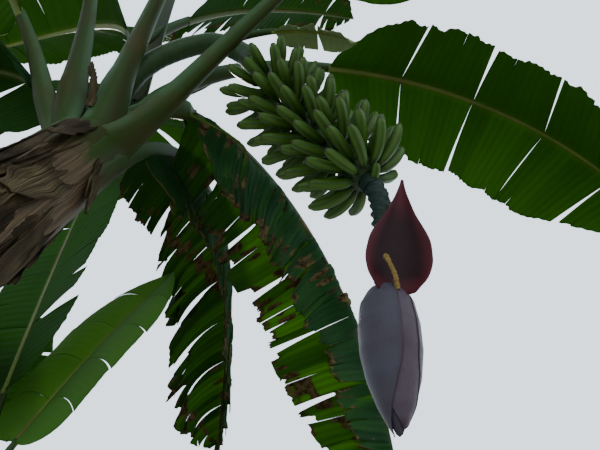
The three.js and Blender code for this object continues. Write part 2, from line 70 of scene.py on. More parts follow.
# Leaves: heading is the compass direction from +X, rise and fall the slope of the rib at its foot and
# its tip, a fold the slope of one half from the rib, and hang the pull that bends it down
CLASP = 250
SUCKER_CLASP = 170
PETIOLE_FOOT_HALF = 44
PETIOLE_HALF = 23
MIDRIB_HALF = 15
MIDRIB_TIP_HALF = 4
WALK_STEPS = 60
ACROSS_STEPS = 12
LEAF = dict(
    bend=1.6, swing=0, foot=(0, 0, 0), stalk=0.22, half=310, foldLeft=-5, foldRight=-5,
    hang=0.3, roll=0, sweep=15, tears=5, seed=1, droop=0.5, open=0.05,
)
LEAVES = dict(
    right=dict(heading=22, rise=90, fall=-80, bend=0.8, swing=-27, length=2200, foot=(100, 0, 20),
               stalk=0.4, half=330, foldLeft=-70, foldRight=-28, hang=0.02, roll=-6, sweep=4, seed=11),
    back_right=dict(heading=41, rise=92, fall=15, bend=1.1, swing=-22, length=1800, foot=(-30, 5, 30),
                    stalk=0.47, half=250, foldLeft=35, foldRight=0, seed=12, tears=6),
    overhead=dict(heading=122, rise=92, fall=-5, bend=1.1, swing=45, length=2500, foot=(20, 75, 60),
                  stalk=0.37, half=300, foldLeft=40, foldRight=41, hang=0.33, seed=13),
    arching=dict(heading=55, rise=92, fall=-91, bend=0.51, swing=-6, length=1980, foot=(120, -57, 60),
                 stalk=0.14, half=328, foldLeft=-38, foldRight=-88, hang=0, sweep=0, seed=14, tears=7),
    weeping=dict(heading=61, rise=83, fall=-85, bend=0.78, swing=45, length=1810, foot=(60, 40, -60),
                 stalk=0.31, half=350, foldLeft=-16, foldRight=-75, hang=0.6, roll=9, sweep=29, seed=15,
                 tears=7),
    low_left=dict(heading=166, rise=79, fall=-61, bend=1.15, length=1840, foot=(-67, 35, -60),
                  stalk=0.14, half=298, foldLeft=-20, foldRight=-76, hang=0.22, roll=16, sweep=19, seed=16),
    front_left=dict(heading=-107, rise=84, fall=-38, bend=1.9, length=2500, foot=(-70, -33, -24),
                    stalk=0.28, seed=17),
    front=dict(heading=-50, rise=75, fall=-36, bend=1.5, length=2500, foot=(26, -24, 0), stalk=0.27, seed=18),
    front_right=dict(heading=-25, rise=46, fall=-30, bend=1.9, swing=-4, length=2600, foot=(85, -4, -26),
                     stalk=0.3, roll=8, seed=29),
    upright=dict(heading=90, rise=89, fall=74, bend=1.9, length=2200, foot=(72, 42, 20), half=150,
                 stalk=0.56, foldLeft=40, foldRight=40, hang=0.1, tears=4, seed=20),
    back_left=dict(heading=112, rise=74, fall=-30, bend=1.9, length=2400, foot=(0, 95, -30), seed=21),
    left=dict(heading=218, rise=70, fall=-45, bend=1.4, length=2400, foot=(-85, 10, -40), seed=22),
)
FLAG = dict(heading=-15, rise=8, fall=-52, bend=1.1, swing=3, length=470, foot=(308, -47, 423),
            stalk=0.38, half=52, foldLeft=-25, foldRight=-30, tears=2, seed=31)
CROWN_LOBE = dict(stalk=0.1, tears=8, half=300, seed=51)
SUCKER_LEAVES = dict(
    sucker_upright=dict(heading=61, rise=88, fall=80, bend=2.1, swing=24, length=1590, foot=(75, -26, 0),
                        half=253, stalk=0.27, foldLeft=5, foldRight=7, hang=0.16, roll=-14, seed=41),
    sucker_right=dict(heading=-3, rise=66, fall=54, bend=1.3, swing=8, length=1020, foot=(40, -25, -10),
                      stalk=0.3, half=265, foldLeft=30, foldRight=-9, hang=0.45, roll=30, sweep=10, seed=42),
    sucker_left=dict(heading=192, rise=80, fall=-30, length=1700, foot=(-40, 10, 0), half=250, seed=43),
    sucker_front=dict(heading=250, rise=75, fall=-40, bend=1.5, length=1700, foot=(-20, -40, 0), half=250,
                      seed=44),
    sucker_back=dict(heading=128, rise=78, fall=-10, bend=1.8, length=1700, foot=(-20, 50, 0), half=230,
                     foldLeft=25, foldRight=25, tears=4, seed=45),
)
SPLIT = {"right", "arching", "weeping", "low_left", "front_left", "front", "front_right", "back_left", "left"}

# Blades, by the rule of the solids: the rounded foot and the taper of the tip in shares of the blade,
# and how far one lobe may fold and hang apart from the next
BLADE_FOOT = 0.16
TIP_START = 0.55
TIP_POWER = 2.3
LEAST_HALF = 10
LOBE_FOLD = 14
LOBE_HANG = 0.3

# The finer blade: spacing of its columns, the rows from rib to margin, where the gap between two lobes
# starts, the farthest start of a tear (past 1 it doesn't open), and the dry edge beside a tear
COLUMN = 7
BLADE_THICK = 1.6
PLEAT = 26
VEIN = 6.5
ROWS = np.array([0, 0.03, 0.08, 0.16, 0.26, 0.38, 0.5, 0.62, 0.73, 0.83, 0.91, 0.96, 1.0])
SEAM = 0.02
TEAR_LIMIT = 1.35
TORN_EDGE = 14

# How each leaf is torn and dried. Lengths in millimetres: strip is the width of a strip, and pleat, ripple,
# twist and shoulder are how far it leaves its plane. Shares: tear is the nearest a tear starts to the rib,
# gap and part how far it opens, flutter and ragged how uneven the strips hang and end, calm how much the
# lobes keep of their own fold, reach the last lobe and flare the swelling of the stalk's foot. Colours:
# margin and dead are how dry it is, tone and rib how bright, vary how much strips differ and smooth how
# faint the veins are
LOOK = dict(strip=95, tear=0.35, gap=0.03, flutter=0.1, ragged=0.03, margin=0.5, dead=0.0, pleat=2.5,
            ripple=6, twist=8, tone=0.4, part=1.0, rib=0.5, calm=1.0, shoulder=0,
            flare=0.35, reach=1.0, vary=0.25, smooth=0.0)
LOOKS = dict(
    right=dict(strip=75, tear=0.6, gap=0.012, ragged=0.06, dead=0.05, tone=0.3, pleat=2.2, part=0.4, rib=0.6,
               smooth=0.3),
    front_left=dict(flare=1.0),
    front=dict(flare=0.8),
    back_right=dict(strip=40, tear=0.12, gap=0.09, flutter=0.5, ragged=0.2, dead=0.35, tone=0.3, rib=0.3),
    overhead=dict(strip=190, tear=0.85, gap=0.0, pleat=5, tone=0.25, margin=0.2, part=0.0, rib=0.7, ripple=4,
                  calm=0.15),
    arching=dict(strip=42, tear=0.15, gap=0.045, flutter=0.16, ragged=0.16, dead=0.5, tone=0.8, margin=0.9,
                 rib=0.0, twist=14, part=0.8, shoulder=52, vary=1.0, smooth=0.35),
    weeping=dict(strip=30, tear=0.08, gap=0.12, flutter=0.5, ragged=0.35, dead=0.55, tone=0.3, margin=1.0,
                 rib=0.0, twist=16, shoulder=14, vary=1.0),
    low_left=dict(strip=70, tear=0.3, gap=0.06, flutter=0.2, ragged=0.05, tone=0.0, rib=0.2),
    sucker_upright=dict(strip=110, tear=0.5, gap=0.02, tone=0.3, part=0.5, rib=0.7, pleat=0.9, ripple=3,
                        smooth=0.55),
    crown_lobe=dict(strip=60, tear=0.3, gap=0.03, flutter=0.3, ragged=0.12, dead=0.3, tone=0.1, margin=1.0,
                    shoulder=10, reach=0.33, part=0.4),
    sucker_right=dict(strip=160, tear=0.75, gap=0.004, tone=1.0, part=0.12, ripple=1, pleat=0.35, twist=3,
                      flutter=0.02, ragged=0.01, margin=0.15, rib=1.0, calm=0.1, smooth=0.85),
    flag=dict(strip=60, tear=0.5, gap=0.02, tone=1.0, rib=0.9, dead=0.2, pleat=1.2),
)

# Sheaths and dry flaps on a stem, in millimetres and degrees
STEM_SIDES = 120
STEM_STEP = 9
SHEATHS = 5
SHEATH_TURN = 2600
SHEATH_STEP = 7
STALK_SIDES = 28
STALK_TURN = 2 * np.pi * (np.arange(STALK_SIDES) + 0.5) / STALK_SIDES
SHEATH_LENGTH = (420, 900)
SHEATH_SPREAD = (14, 48)
FLARE_LENGTH = 200
FLAP_LENGTH = (130, 520)
FLAP_HALF = (5, 44)
FLAP_DROP = (-30, 900)
FLAP_PEEL = (2, 42)

# Bunch, in millimetres
STALK_PATH = [
    (700, 940, 2790), (722, 880, 2890), (772, 856, 2985), (850, 846, 3050), (960, 845, 3096),
    (1052, 834, 3030), (1124, 814, 2889), (1207, 812, 2713), (1337, 803, 2524), (1398, 797, 2417),
    (1406, 795, 2300), (1396, 795, 2150),
]
STALK_HALF = (31, 24)
TAIL_HALF = (23, 18)
STALK_JOINT = 0.43
TAIL_START = 0.82
BUNCH_LENGTH = 1450
BUNCH_STEP = 4
BUNCH_SIDES = 36
SCAR_PITCH = 26
HANDS = 5
HAND_SPAN = (0.535, 0.785)
HAND_FINGERS = (11, 11)
HAND_TURN = 0.9
FINGER_LENGTH = (118, 121)
FINGER_HALF = (15, 14)
FINGER_SWELL = [(0, 0.42), (0.1, 0.5), (0.24, 0.86), (0.45, 0.98), (0.65, 1.0), (0.82, 0.93), (0.91, 0.78),
                (0.96, 0.5), (0.975, 0.36), (1, 0.32)]
FINGER_RIDGES = 5
RIDGE_DEPTH = 0.13
FINGER_RISE = (-8, 42)
COLLAR_HALF = 44
COLLAR_HEIGHT = 56
ROW_STEP = 32
FINGER_ROOT = 30
BELL_TOP = (1396, 795, 2150)
BELL_TIP = (1392, 799, 1861)
BELL_PROFILE = [(0, 16), (0.04, 34), (0.14, 50), (0.3, 56), (0.48, 55), (0.66, 46), (0.82, 31), (0.93, 15),
                (1, 3)]
BELL_LINES = 90
BELL_BRACTS = (
    dict(centre=-1.05, spread=1.75, last=0.95, hold=0.55, off=0.8, tone=1.0),
    dict(centre=0.75, spread=1.7, last=0.965, hold=0.72, off=0.5, tone=1.0),
    dict(centre=3.3, spread=1.95, last=1.0, hold=0.5, off=2.0, tone=0.0),
)
BRACT_FOOT = (1408, 768, 2116)
BRACT_TIP = (1453, 757, 2410)
BRACT_HALF = 66
BRACT_CUP = 34
BRACT_LINES = 120
BRACT_WIDTHS = [(0, 0.45), (0.06, 0.8), (0.2, 0.98), (0.38, 0.9), (0.52, 0.68), (0.66, 0.4), (0.82, 0.19),
                (1, 0.03)]
REMNANT_PATH = [(1411, 752, 2118), (1408, 742, 2142), (1398, 735, 2168), (1391, 733, 2186)]
REMNANT_HALVES = [(0, 5.5), (0.3, 4.5), (0.75, 4), (0.92, 6), (1, 2)]
DRY_STALKS = (
    dict(half=9, kind=0, path=[(760, 960, 2900), (809, 1011, 3011), (843, 1010, 3042), (904, 1005, 3078),
                               (973, 989, 3127), (1030, 979, 3169)]),
    dict(half=12, kind=0, path=[(675, 815, 2745), (681, 799, 2767), (679, 779, 2820), (668, 770, 2850),
                                (659, 774, 2887)]),
    dict(half=10, kind=1, path=[(735, 870, 2790), (766, 891, 2783), (769, 910, 2762), (764, 914, 2735)]),
    dict(half=5, kind=2, path=[(900, 955, 2890), (945, 978, 2881), (1021, 999, 2842), (1067, 1020, 2803),
                               (1061, 1049, 2769)]),
)
STUB_FINGER = dict(place=0.812, turn=-0.35, length=46, half=11)

# The camera looks up at the crown as the photograph's does
CAMERA_AT = (1.230, -0.140, 1.500)
CAMERA_TURN = (math.radians(131), 0, 0)
CAMERA_LENS = 35
CAMERA_FILM = 36
FLOOR_REACH = 40


# Numbers and vectors
def mix(first, second, share):
    return first + (second - first) * share


def smooth(value):
    value = np.clip(value, 0, 1)
    return value * value * (3 - 2 * value)


def unit(vectors):
    return vectors / np.maximum(np.linalg.norm(vectors, axis=-1, keepdims=True), 1e-12)


def dice(seed):
    """A repeatable run of numbers from 0 to 1, the same as the one that shaped the solids."""
    word = 0xFFFFFFFF
    state = seed & word

    def roll():
        nonlocal state
        state = (state + 0x6D2B79F5) & word
        mixed = ((state ^ (state >> 15)) * (state | 1)) & word
        mixed ^= (mixed + (((mixed ^ (mixed >> 7)) * (mixed | 61)) & word)) & word
        return (mixed ^ (mixed >> 14)) / 4294967296

    return roll


def waves(places, roll, count, lowest, highest):
    """A smooth random line over the places, from -1 to 1, made of a few sine waves."""
    total = np.zeros(np.shape(places))
    for _ in range(count):
        total += np.sin(2 * np.pi * (places * mix(lowest, highest, roll()) + roll()))
    return total / count


def walk(shares, places, path):
    """Points at the shares, on a path whose own points lie at the places."""
    return np.stack([np.interp(shares, places, path[:, axis]) for axis in range(3)], -1)


def along(pairs, shares):
    """Values at the shares, on a line through pairs of place and value."""
    return np.interp(shares, *np.array(pairs, float).T)


def eased(pairs, shares, last):
    """The same line with its corners rounded, and its last value given."""
    values = np.convolve(np.pad(along(pairs, shares), 3, mode="edge"), np.ones(7) / 7, mode="valid")
    values[-1] = last
    return values


def trace(path, shares, step=0.004):
    """Points on a polyline of millimetres at shares of its length, and the ways it runs there."""
    path = np.asarray(path, float)
    lengths = np.linalg.norm(np.diff(path, axis=0), axis=1)
    places = np.concatenate([[0], np.cumsum(lengths)]) / lengths.sum()
    ahead, behind = (walk(np.clip(shares + way, 0, 1), places, path) for way in (step, -step))
    return walk(shares, places, path), unit(ahead - behind), lengths.sum()


def spline(points, count=240):
    """A centripetal curve through the points, as a fine polyline."""
    points = np.asarray(points, float)
    padded = np.vstack([2 * points[0] - points[1], points, 2 * points[-1] - points[-2]])
    line = []
    for index in range(1, len(padded) - 2):
        p0, p1, p2, p3 = padded[index - 1:index + 3]
        t1 = np.linalg.norm(p1 - p0) ** 0.5
        t2 = t1 + np.linalg.norm(p2 - p1) ** 0.5
        t3 = t2 + np.linalg.norm(p3 - p2) ** 0.5
        t = np.linspace(t1, t2, count // (len(points) - 1), endpoint=False)[:, None]
        a1 = (t1 - t) / t1 * p0 + t / t1 * p1
        a2 = (t2 - t) / (t2 - t1) * p1 + (t - t1) / (t2 - t1) * p2
        a3 = (t3 - t) / (t3 - t2) * p2 + (t - t2) / (t3 - t2) * p3
        b1 = (t2 - t) / t2 * a1 + t / t2 * a2
        b2 = (t3 - t) / (t3 - t1) * a2 + (t - t1) / (t3 - t1) * a3
        line.append((t2 - t) / (t2 - t1) * b1 + (t - t1) / (t2 - t1) * b2)
    line.append(points[-1:])
    return np.vstack(line)


# Meshes
class Skin:
    """The points and faces of one piece in millimetres, with named marks on its points."""

    def __init__(self):
        self.points, self.faces, self.kinds, self.marks, self.count = [], [], [], {}, 0

    def add(self, points, faces, kind=0, **marks):
        points = np.asarray(points, float)
        self.points.append(points)
        self.faces += [[corner + self.count for corner in face] for face in faces]
        self.kinds += [kind] * len(faces)
        for name in sorted({*self.marks, *marks}):
            stored = self.marks.setdefault(name, [np.zeros(self.count)] if self.count else [])
            stored.append(np.broadcast_to(np.asarray(marks.get(name, 0.0), float), (len(points),)))
        self.count += len(points)

    def add_loft(self, rings, kind=0, **marks):
        """A closed skin over rings, with marks that are grids over the rings or one value for all."""
        points, faces = loft(rings)
        self.add(points, faces, kind, **{
            name: around(np.broadcast_to(grid, rings.shape[:2])) for name, grid in marks.items()
        })

    def add_sheet(self, points, thick, kind=0, **marks):
        """A thin slab over a grid of points, with marks that are grids over it or one value for all."""
        shape = points.shape[:2]
        grid = np.arange(shape[0] * shape[1]).reshape(shape)
        quads = np.stack([grid[:-1, :-1], grid[:-1, 1:], grid[1:, 1:], grid[1:, :-1]], -1).reshape(-1, 4)
        slab, faces, under = thicken(points.reshape(-1, 3), quads, thick)
        self.add(slab, faces, kind, under=under, **{
            name: np.tile(np.broadcast_to(values, shape).ravel(), 2) for name, values in marks.items()
        })

    def piece(self, name, paints, replaced=()):
        mesh = bpy.data.meshes.new(name)
        mesh.from_pydata((np.vstack(self.points) * MM).tolist(), [], self.faces)
        for mark, values in self.marks.items():
            layer = mesh.attributes.new(mark, "FLOAT", "POINT")
            layer.data.foreach_set("value", np.concatenate(values).astype(np.float32))
        for paint in paints:
            mesh.materials.append(paint)
        mesh.polygons.foreach_set("material_index", np.array(self.kinds, dtype=np.int32))
        mesh.polygons.foreach_set("use_smooth", np.ones(len(self.faces), dtype=bool))
        mesh.update()
        made = bpy.data.objects.new(name, mesh)
        bpy.context.scene.collection.objects.link(made)
        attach(made, "root")
        if replaced:
            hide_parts(*replaced)


def volume_of(points, faces):
    total = 0.0
    for size in (3, 4):
        group = np.array([face for face in faces if len(face) == size])
        for second in range(1, size - 1):
            if len(group):
                a, b, c = points[group[:, 0]], points[group[:, second]], points[group[:, second + 1]]
                total += np.einsum("ij,ij->i", a, np.cross(b, c)).sum()
    return total


def loft(rings):
    """A closed skin over rings of equal count, each end closed by a fan, facing outwards."""
    rings = np.asarray(rings, float)
    count, sides = rings.shape[:2]
    starts = np.arange(count - 1)[:, None] * sides
    here, there = np.arange(sides)[None], (np.arange(sides)[None] + 1) % sides
    quads = np.stack([starts + here, starts + there, starts + there + sides, starts + here + sides], -1)
    faces = quads.reshape(-1, 4).tolist()
    points = np.vstack([rings.reshape(-1, 3), rings[0], rings[0].mean(0), rings[-1], rings[-1].mean(0)])
    first, last = count * sides, (count + 1) * sides + 1
    for side in range(sides):
        after = (side + 1) % sides
        faces.append([first + sides, first + after, first + side])
        faces.append([last + sides, last + side, last + after])
    if volume_of(points, faces) < 0:
        faces = [face[::-1] for face in faces]
    return points, faces


def around(grid):
    """A mark for each point of a loft, from one value for each point of its rings."""
    return np.concatenate([grid.ravel(), grid[0], grid[0, :1], grid[-1], grid[-1, :1]])


def tube(middle, size, right, front, angle):
    """Rings round a line of middles, from their sizes, the two ways across and the angles round them."""
    across = right * np.cos(angle)[..., None] + front * np.sin(angle)[..., None]
    return middle[:, None] + size[..., None] * across


def thicken(points, faces, thick):
    """A sheet of quads as a closed slab, with a mark that tells its underside."""
    quads = np.array(faces)
    corners = points[quads]
    normals = np.cross(corners[:, 2] - corners[:, 0], corners[:, 3] - corners[:, 1])
    summed = np.zeros_like(points)
    for corner in range(4):
        np.add.at(summed, quads[:, corner], normals)
    shift = unit(summed) * thick / 2
    edges = np.concatenate([quads[:, [corner, (corner + 1) % 4]] for corner in range(4)])
    keys = np.sort(edges, axis=1)
    _, first, counts = np.unique(keys, axis=0, return_index=True, return_counts=True)
    rim = edges[first[counts == 1]]
    count = len(points)
    walls = np.stack([rim[:, 1], rim[:, 0], rim[:, 0] + count, rim[:, 1] + count], 1)
    every = np.vstack([quads, quads[:, ::-1] + count, walls])
    return np.vstack([points + shift, points - shift]), every.tolist(), np.repeat([0.0, 1.0], count)


# The leaf rule
class Rib:
    """The line that a leaf's stalk and midrib follow, and the blade that hangs from it."""

    def __init__(self, name, given, crown, clasp, size):
        self.name, self.clasp, self.size = name, clasp, size
        for key, value in {**LEAF, **given}.items():
            setattr(self, key, value)
        self.look = {**LOOK, **LOOKS.get(name, {})}
        forward, _, _ = self.frame((np.arange(WALK_STEPS) + 0.5) / WALK_STEPS)
        steps = np.vstack([np.zeros(3), forward * self.length / WALK_STEPS])
        self.path = np.asarray(crown, float) + self.foot + np.cumsum(steps, axis=0)

    def frame(self, share):
        """The ways forward, left and up at a share of the rib."""
        share = np.clip(share, 0, 1)
        slope = np.radians(self.rise + (self.fall - self.rise) * share ** self.bend)
        heading = np.radians(self.heading + self.swing * share)
        level = np.cos(slope)
        forward = np.stack([level * np.cos(heading), level * np.sin(heading), np.sin(slope)], -1)
        across = np.stack([-np.sin(heading), np.cos(heading), 0 * heading], -1)
        normal = np.cross(forward, across)
        turn = math.radians(self.roll)
        left = across * math.cos(turn) + normal * math.sin(turn)
        return forward, left, normal * math.cos(turn) - across * math.sin(turn)

    def at(self, share):
        return walk(share, np.linspace(0, 1, WALK_STEPS + 1), self.path)

    def rings(self, share, across, height, half):
        """Rings round the rib: one outline across and up, times the half width at each share."""
        _, left, up = self.frame(share)
        outline = left[:, None] * across[None, :, None] + up[:, None] * height[None, :, None]
        return self.at(share)[:, None] + outline * half[:, None, None]

    def half_width(self, share):
        part = (share - self.stalk) / (1 - self.stalk)
        foot = np.sqrt(np.maximum(1 - (1 - np.clip(part / BLADE_FOOT, 0, 1)) ** 2, 0))
        tip = 1 - np.clip((part - TIP_START) / (1 - TIP_START), 0, 1) ** TIP_POWER
        return np.maximum(self.half * foot * tip, LEAST_HALF)

    def lobes(self, side):
        """The lobes of one half between its widest tears, as far out as the look keeps them."""
        roll = dice(self.seed * 977 + (0 if side > 0 else 53))
        for index in range(self.tears):
            start, end = (mix(self.stalk, 1, (index + step) / self.tears) for step in (0, 1))
            if end > self.look["reach"] + 1e-6:
                break
            yield dict(
                start=start, end=end, fold=(roll() - 0.5) * LOBE_FOLD * self.droop,
                hang=(roll() - 0.4) * LOBE_HANG * self.droop, open=self.open * (0.5 + roll()),
            )

    def sheet(self, side, share, out, fold, hang):
        """Points of one half of the blade, and its normals there."""
        forward, left, up = self.frame(share)
        fold = np.radians((self.foldLeft if side > 0 else self.foldRight) + fold)[:, None]
        sweep = math.radians(self.sweep)
        start = left * side * np.cos(fold) * math.cos(sweep) + up * np.sin(fold) * math.cos(sweep)
        start = start + forward * math.sin(sweep)
        width = self.half_width(share)
        points = self.at(share)
        way = start
        for step in range(ACROSS_STEPS):
            part = np.clip(out * ACROSS_STEPS - step, 0, 1)
            pull = np.clip((self.hang + hang) * (step + 0.5) / ACROSS_STEPS, 0, 0.95)[:, None]
            now = unit(start * (1 - pull) + DOWN * pull)
            points = points + now * (width / ACROSS_STEPS * part)[:, None]
            way = np.where(part[:, None] > 0, now, way)
        return points, unit(np.cross(forward, way) * side)


def strip(rib, lobe, cuts, depths, roll):
    """One strip of a lobe between two cuts, as a grid of columns by rows.

    Each point holds its share, out, fold, hang, lift, torn, row, blight, shoulder and lit.
    """
    look = rib.look
    calm = look["calm"]
    wide = lobe["end"] - lobe["start"]
    span = (cuts[1] - cuts[0]) * wide
    steps = max(2, math.ceil(wide * rib.length * (cuts[1] - cuts[0]) / COLUMN))
    within = np.linspace(0, 1, steps + 1)
    flutter = (roll() - 0.35) * look["flutter"]
    reach = 1 - look["ragged"] * roll() ** 1.5
    twist = (roll() - 0.5) * 2 * look["twist"]
    x, v = np.meshgrid(within, ROWS, indexing="ij")
    place, depth = mix(*cuts, x), mix(*depths, x)
    loose = smooth((v - depth) / np.maximum(1.05 - depth, 0.2))
    ragged = 1 - look["ragged"] * 0.35 * np.abs(waves(within, roll, 3, 1, 5))[:, None]
    out = v * (1 - (1 - reach * ragged) * loose)
    share = mix(lobe["start"], lobe["end"], place) + (1 - 2 * x) * loose * span * look["gap"]
    share = share + (1 - 2 * place) * wide * lobe["open"] * out * look["part"]
    dry = TORN_EDGE / (span * rib.length)
    torn = smooth((np.abs(2 * x - 1) - 1 + dry) / dry) * loose
    return np.stack([
        share, out, np.full_like(v, lobe["fold"] * calm), lobe["hang"] * calm + flutter * loose,
        twist * (2 * x - 1) * loose, torn, v, np.full_like(v, roll() * (depths[0] < 1)),
        np.full_like(v, roll() * look["shoulder"]), np.full_like(v, mix(0.5, roll(), look["vary"])),
    ], -1)


def wear(look, run, row, torn, blight, roll):
    """How dead each point of a blade is: in streaks, along the margin and beside the tears."""
    streak = waves(run / 1000, roll, 4, 9, 30) * 0.5
    streak = streak + waves(row * 1.4 + run / 500, roll, 3, 0.7, 1.8) + blight * 0.5
    dead = smooth((streak - 1.15 + look["dead"]) * 3) * min(1, 2 * look["dead"])
    edge = smooth((row - 0.95 + 0.25 * look["dead"] * blight) / 0.08) * look["margin"]
    edge = edge * (0.5 + 0.5 * np.abs(waves(run / 1000, roll, 3, 3, 9)))
    return np.clip(np.maximum(edge, torn * look["margin"] * 0.8) + dead, 0, 1)


def half_blade(rib, side):
    """The finer half of a blade: pleated strips between tears that start near the rib or far from it."""
    look = rib.look
    roll = dice(rib.seed * 131 + (7 if side > 0 else 0))
    columns, faces, count = [], [], 0
    for lobe in rib.lobes(side):
        strips = max(1, round((lobe["end"] - lobe["start"]) * rib.length / look["strip"]))
        cuts = [0.0] + [(index + 0.5 * (roll() - 0.5)) / strips for index in range(1, strips)] + [1.0]
        depths = [SEAM] + [mix(look["tear"], TEAR_LIMIT, roll()) for _ in range(1, strips)] + [SEAM]
        before = None
        for index in range(strips):
            grown = strip(rib, lobe, cuts[index:index + 2], depths[index:index + 2], roll)
            columns.append(grown.reshape(-1, grown.shape[-1]))
            grid = count + np.arange(len(columns[-1])).reshape(grown.shape[:2])
            count += grid.size
            if before is not None:
                shared = ROWS <= depths[index]
                grid[0, shared] = before[shared]
            before = grid[-1]
            quads = np.stack([grid[:-1, :-1], grid[1:, :-1], grid[1:, 1:], grid[:-1, 1:]], -1).reshape(-1, 4)
            faces.append(quads[:, ::-1] if side > 0 else quads)
    share, out, fold, hang, lift, torn, row, blight, shoulder, lit = np.vstack(columns).T
    points, normals = rib.sheet(side, share, out, fold, hang)
    points = points + normals * (shoulder * np.sin(np.pi * np.clip(out / 0.4, 0, 1)) ** 0.7)[:, None]
    run = share * rib.length
    pleat = (2 * np.abs((run / PLEAT) % 1 - 0.5) - 0.5) * 2 * look["pleat"] * smooth(row * 6)
    ripple = waves(run / 1000, roll, 3, 5, 13) * look["ripple"] * row ** 2
    points = points + normals * (pleat + ripple + lift)[:, None]
    worn = wear(look, run, row, torn, blight, roll)
    used = np.unique(np.concatenate(faces))
    places = np.zeros(count, int)
    places[used] = np.arange(len(used))
    marks = dict(run=run[used], out=row[used], turn=row[used], worn=worn[used], lit=lit[used])
    return points[used], places[np.concatenate(faces)], marks


def add_midrib(skin, rib, steps=70, sides=16):
    """The rib under a blade: rounded below, with a narrow channel above."""
    share = np.linspace(rib.stalk - 3 / rib.length, 1, steps)
    half = mix(MIDRIB_HALF, MIDRIB_TIP_HALF, np.linspace(0, 1, steps)) * rib.size
    turn = 2 * np.pi * np.arange(sides) / sides
    across = np.cos(turn)
    height = np.where(np.sin(turn) > 0, 0.42 - 0.3 * (1 - np.abs(across)), 1.1 * np.sin(turn))
    rings = rib.rings(share, across, height, half)
    skin.add_loft(rings, 1, run=(share * rib.length)[:, None], tone=rib.look["rib"])


def stalk_rings(rib, share):
    """A leaf stalk: wide and clasping at its foot, then a channel with thin raised edges."""
    foot = rib.clasp / rib.length
    wide = PETIOLE_FOOT_HALF * rib.size, PETIOLE_HALF * 1.25 * rib.size, PETIOLE_HALF * 0.75 * rib.size
    half = np.where(share < foot, mix(wide[0], wide[1], np.clip(share / foot, 0, 1)),
                    mix(wide[1], wide[2], np.clip((share - foot) / (rib.stalk - foot), 0, 1)))
    half = half * (1 + rib.look["flare"] * np.exp(-share * rib.length / (FLARE_LENGTH * rib.size)))
    across, rise = np.cos(STALK_TURN), np.sin(STALK_TURN)
    wing = np.abs(across) ** 3
    height = np.where(rise > 0, 0.02 + 0.5 * wing - 0.1 * rise, 0.5 * wing + 0.85 * rise)
    height = height + 0.015 * np.sin(STALK_TURN * STALK_SIDES / 2)
    return rib.rings(share, across, height, half), np.abs(across)


def add_stalk(skin, rib, first, last, steps):
    share = np.linspace(first, last, steps)
    rings, edge = stalk_rings(rib, share)
    turn = np.arange(STALK_SIDES) / STALK_SIDES
    skin.add_loft(rings, run=(share * rib.length)[:, None], edge=edge, turn=turn)


def make_leaf(rib, blades, paint):
    skin = Skin()
    for side in (1, -1):
        sheet, quads, marks = half_blade(rib, side)
        points, faces, under = thicken(sheet, quads, BLADE_THICK)
        doubled = {name: np.tile(values, 2) for name, values in marks.items()}
        skin.add(points, faces, under=under, tone=rib.look["tone"], smooth=rib.look["smooth"], **doubled)
    add_midrib(skin, rib)
    skin.piece("leaf_" + rib.name, [paint, RIB], blades)


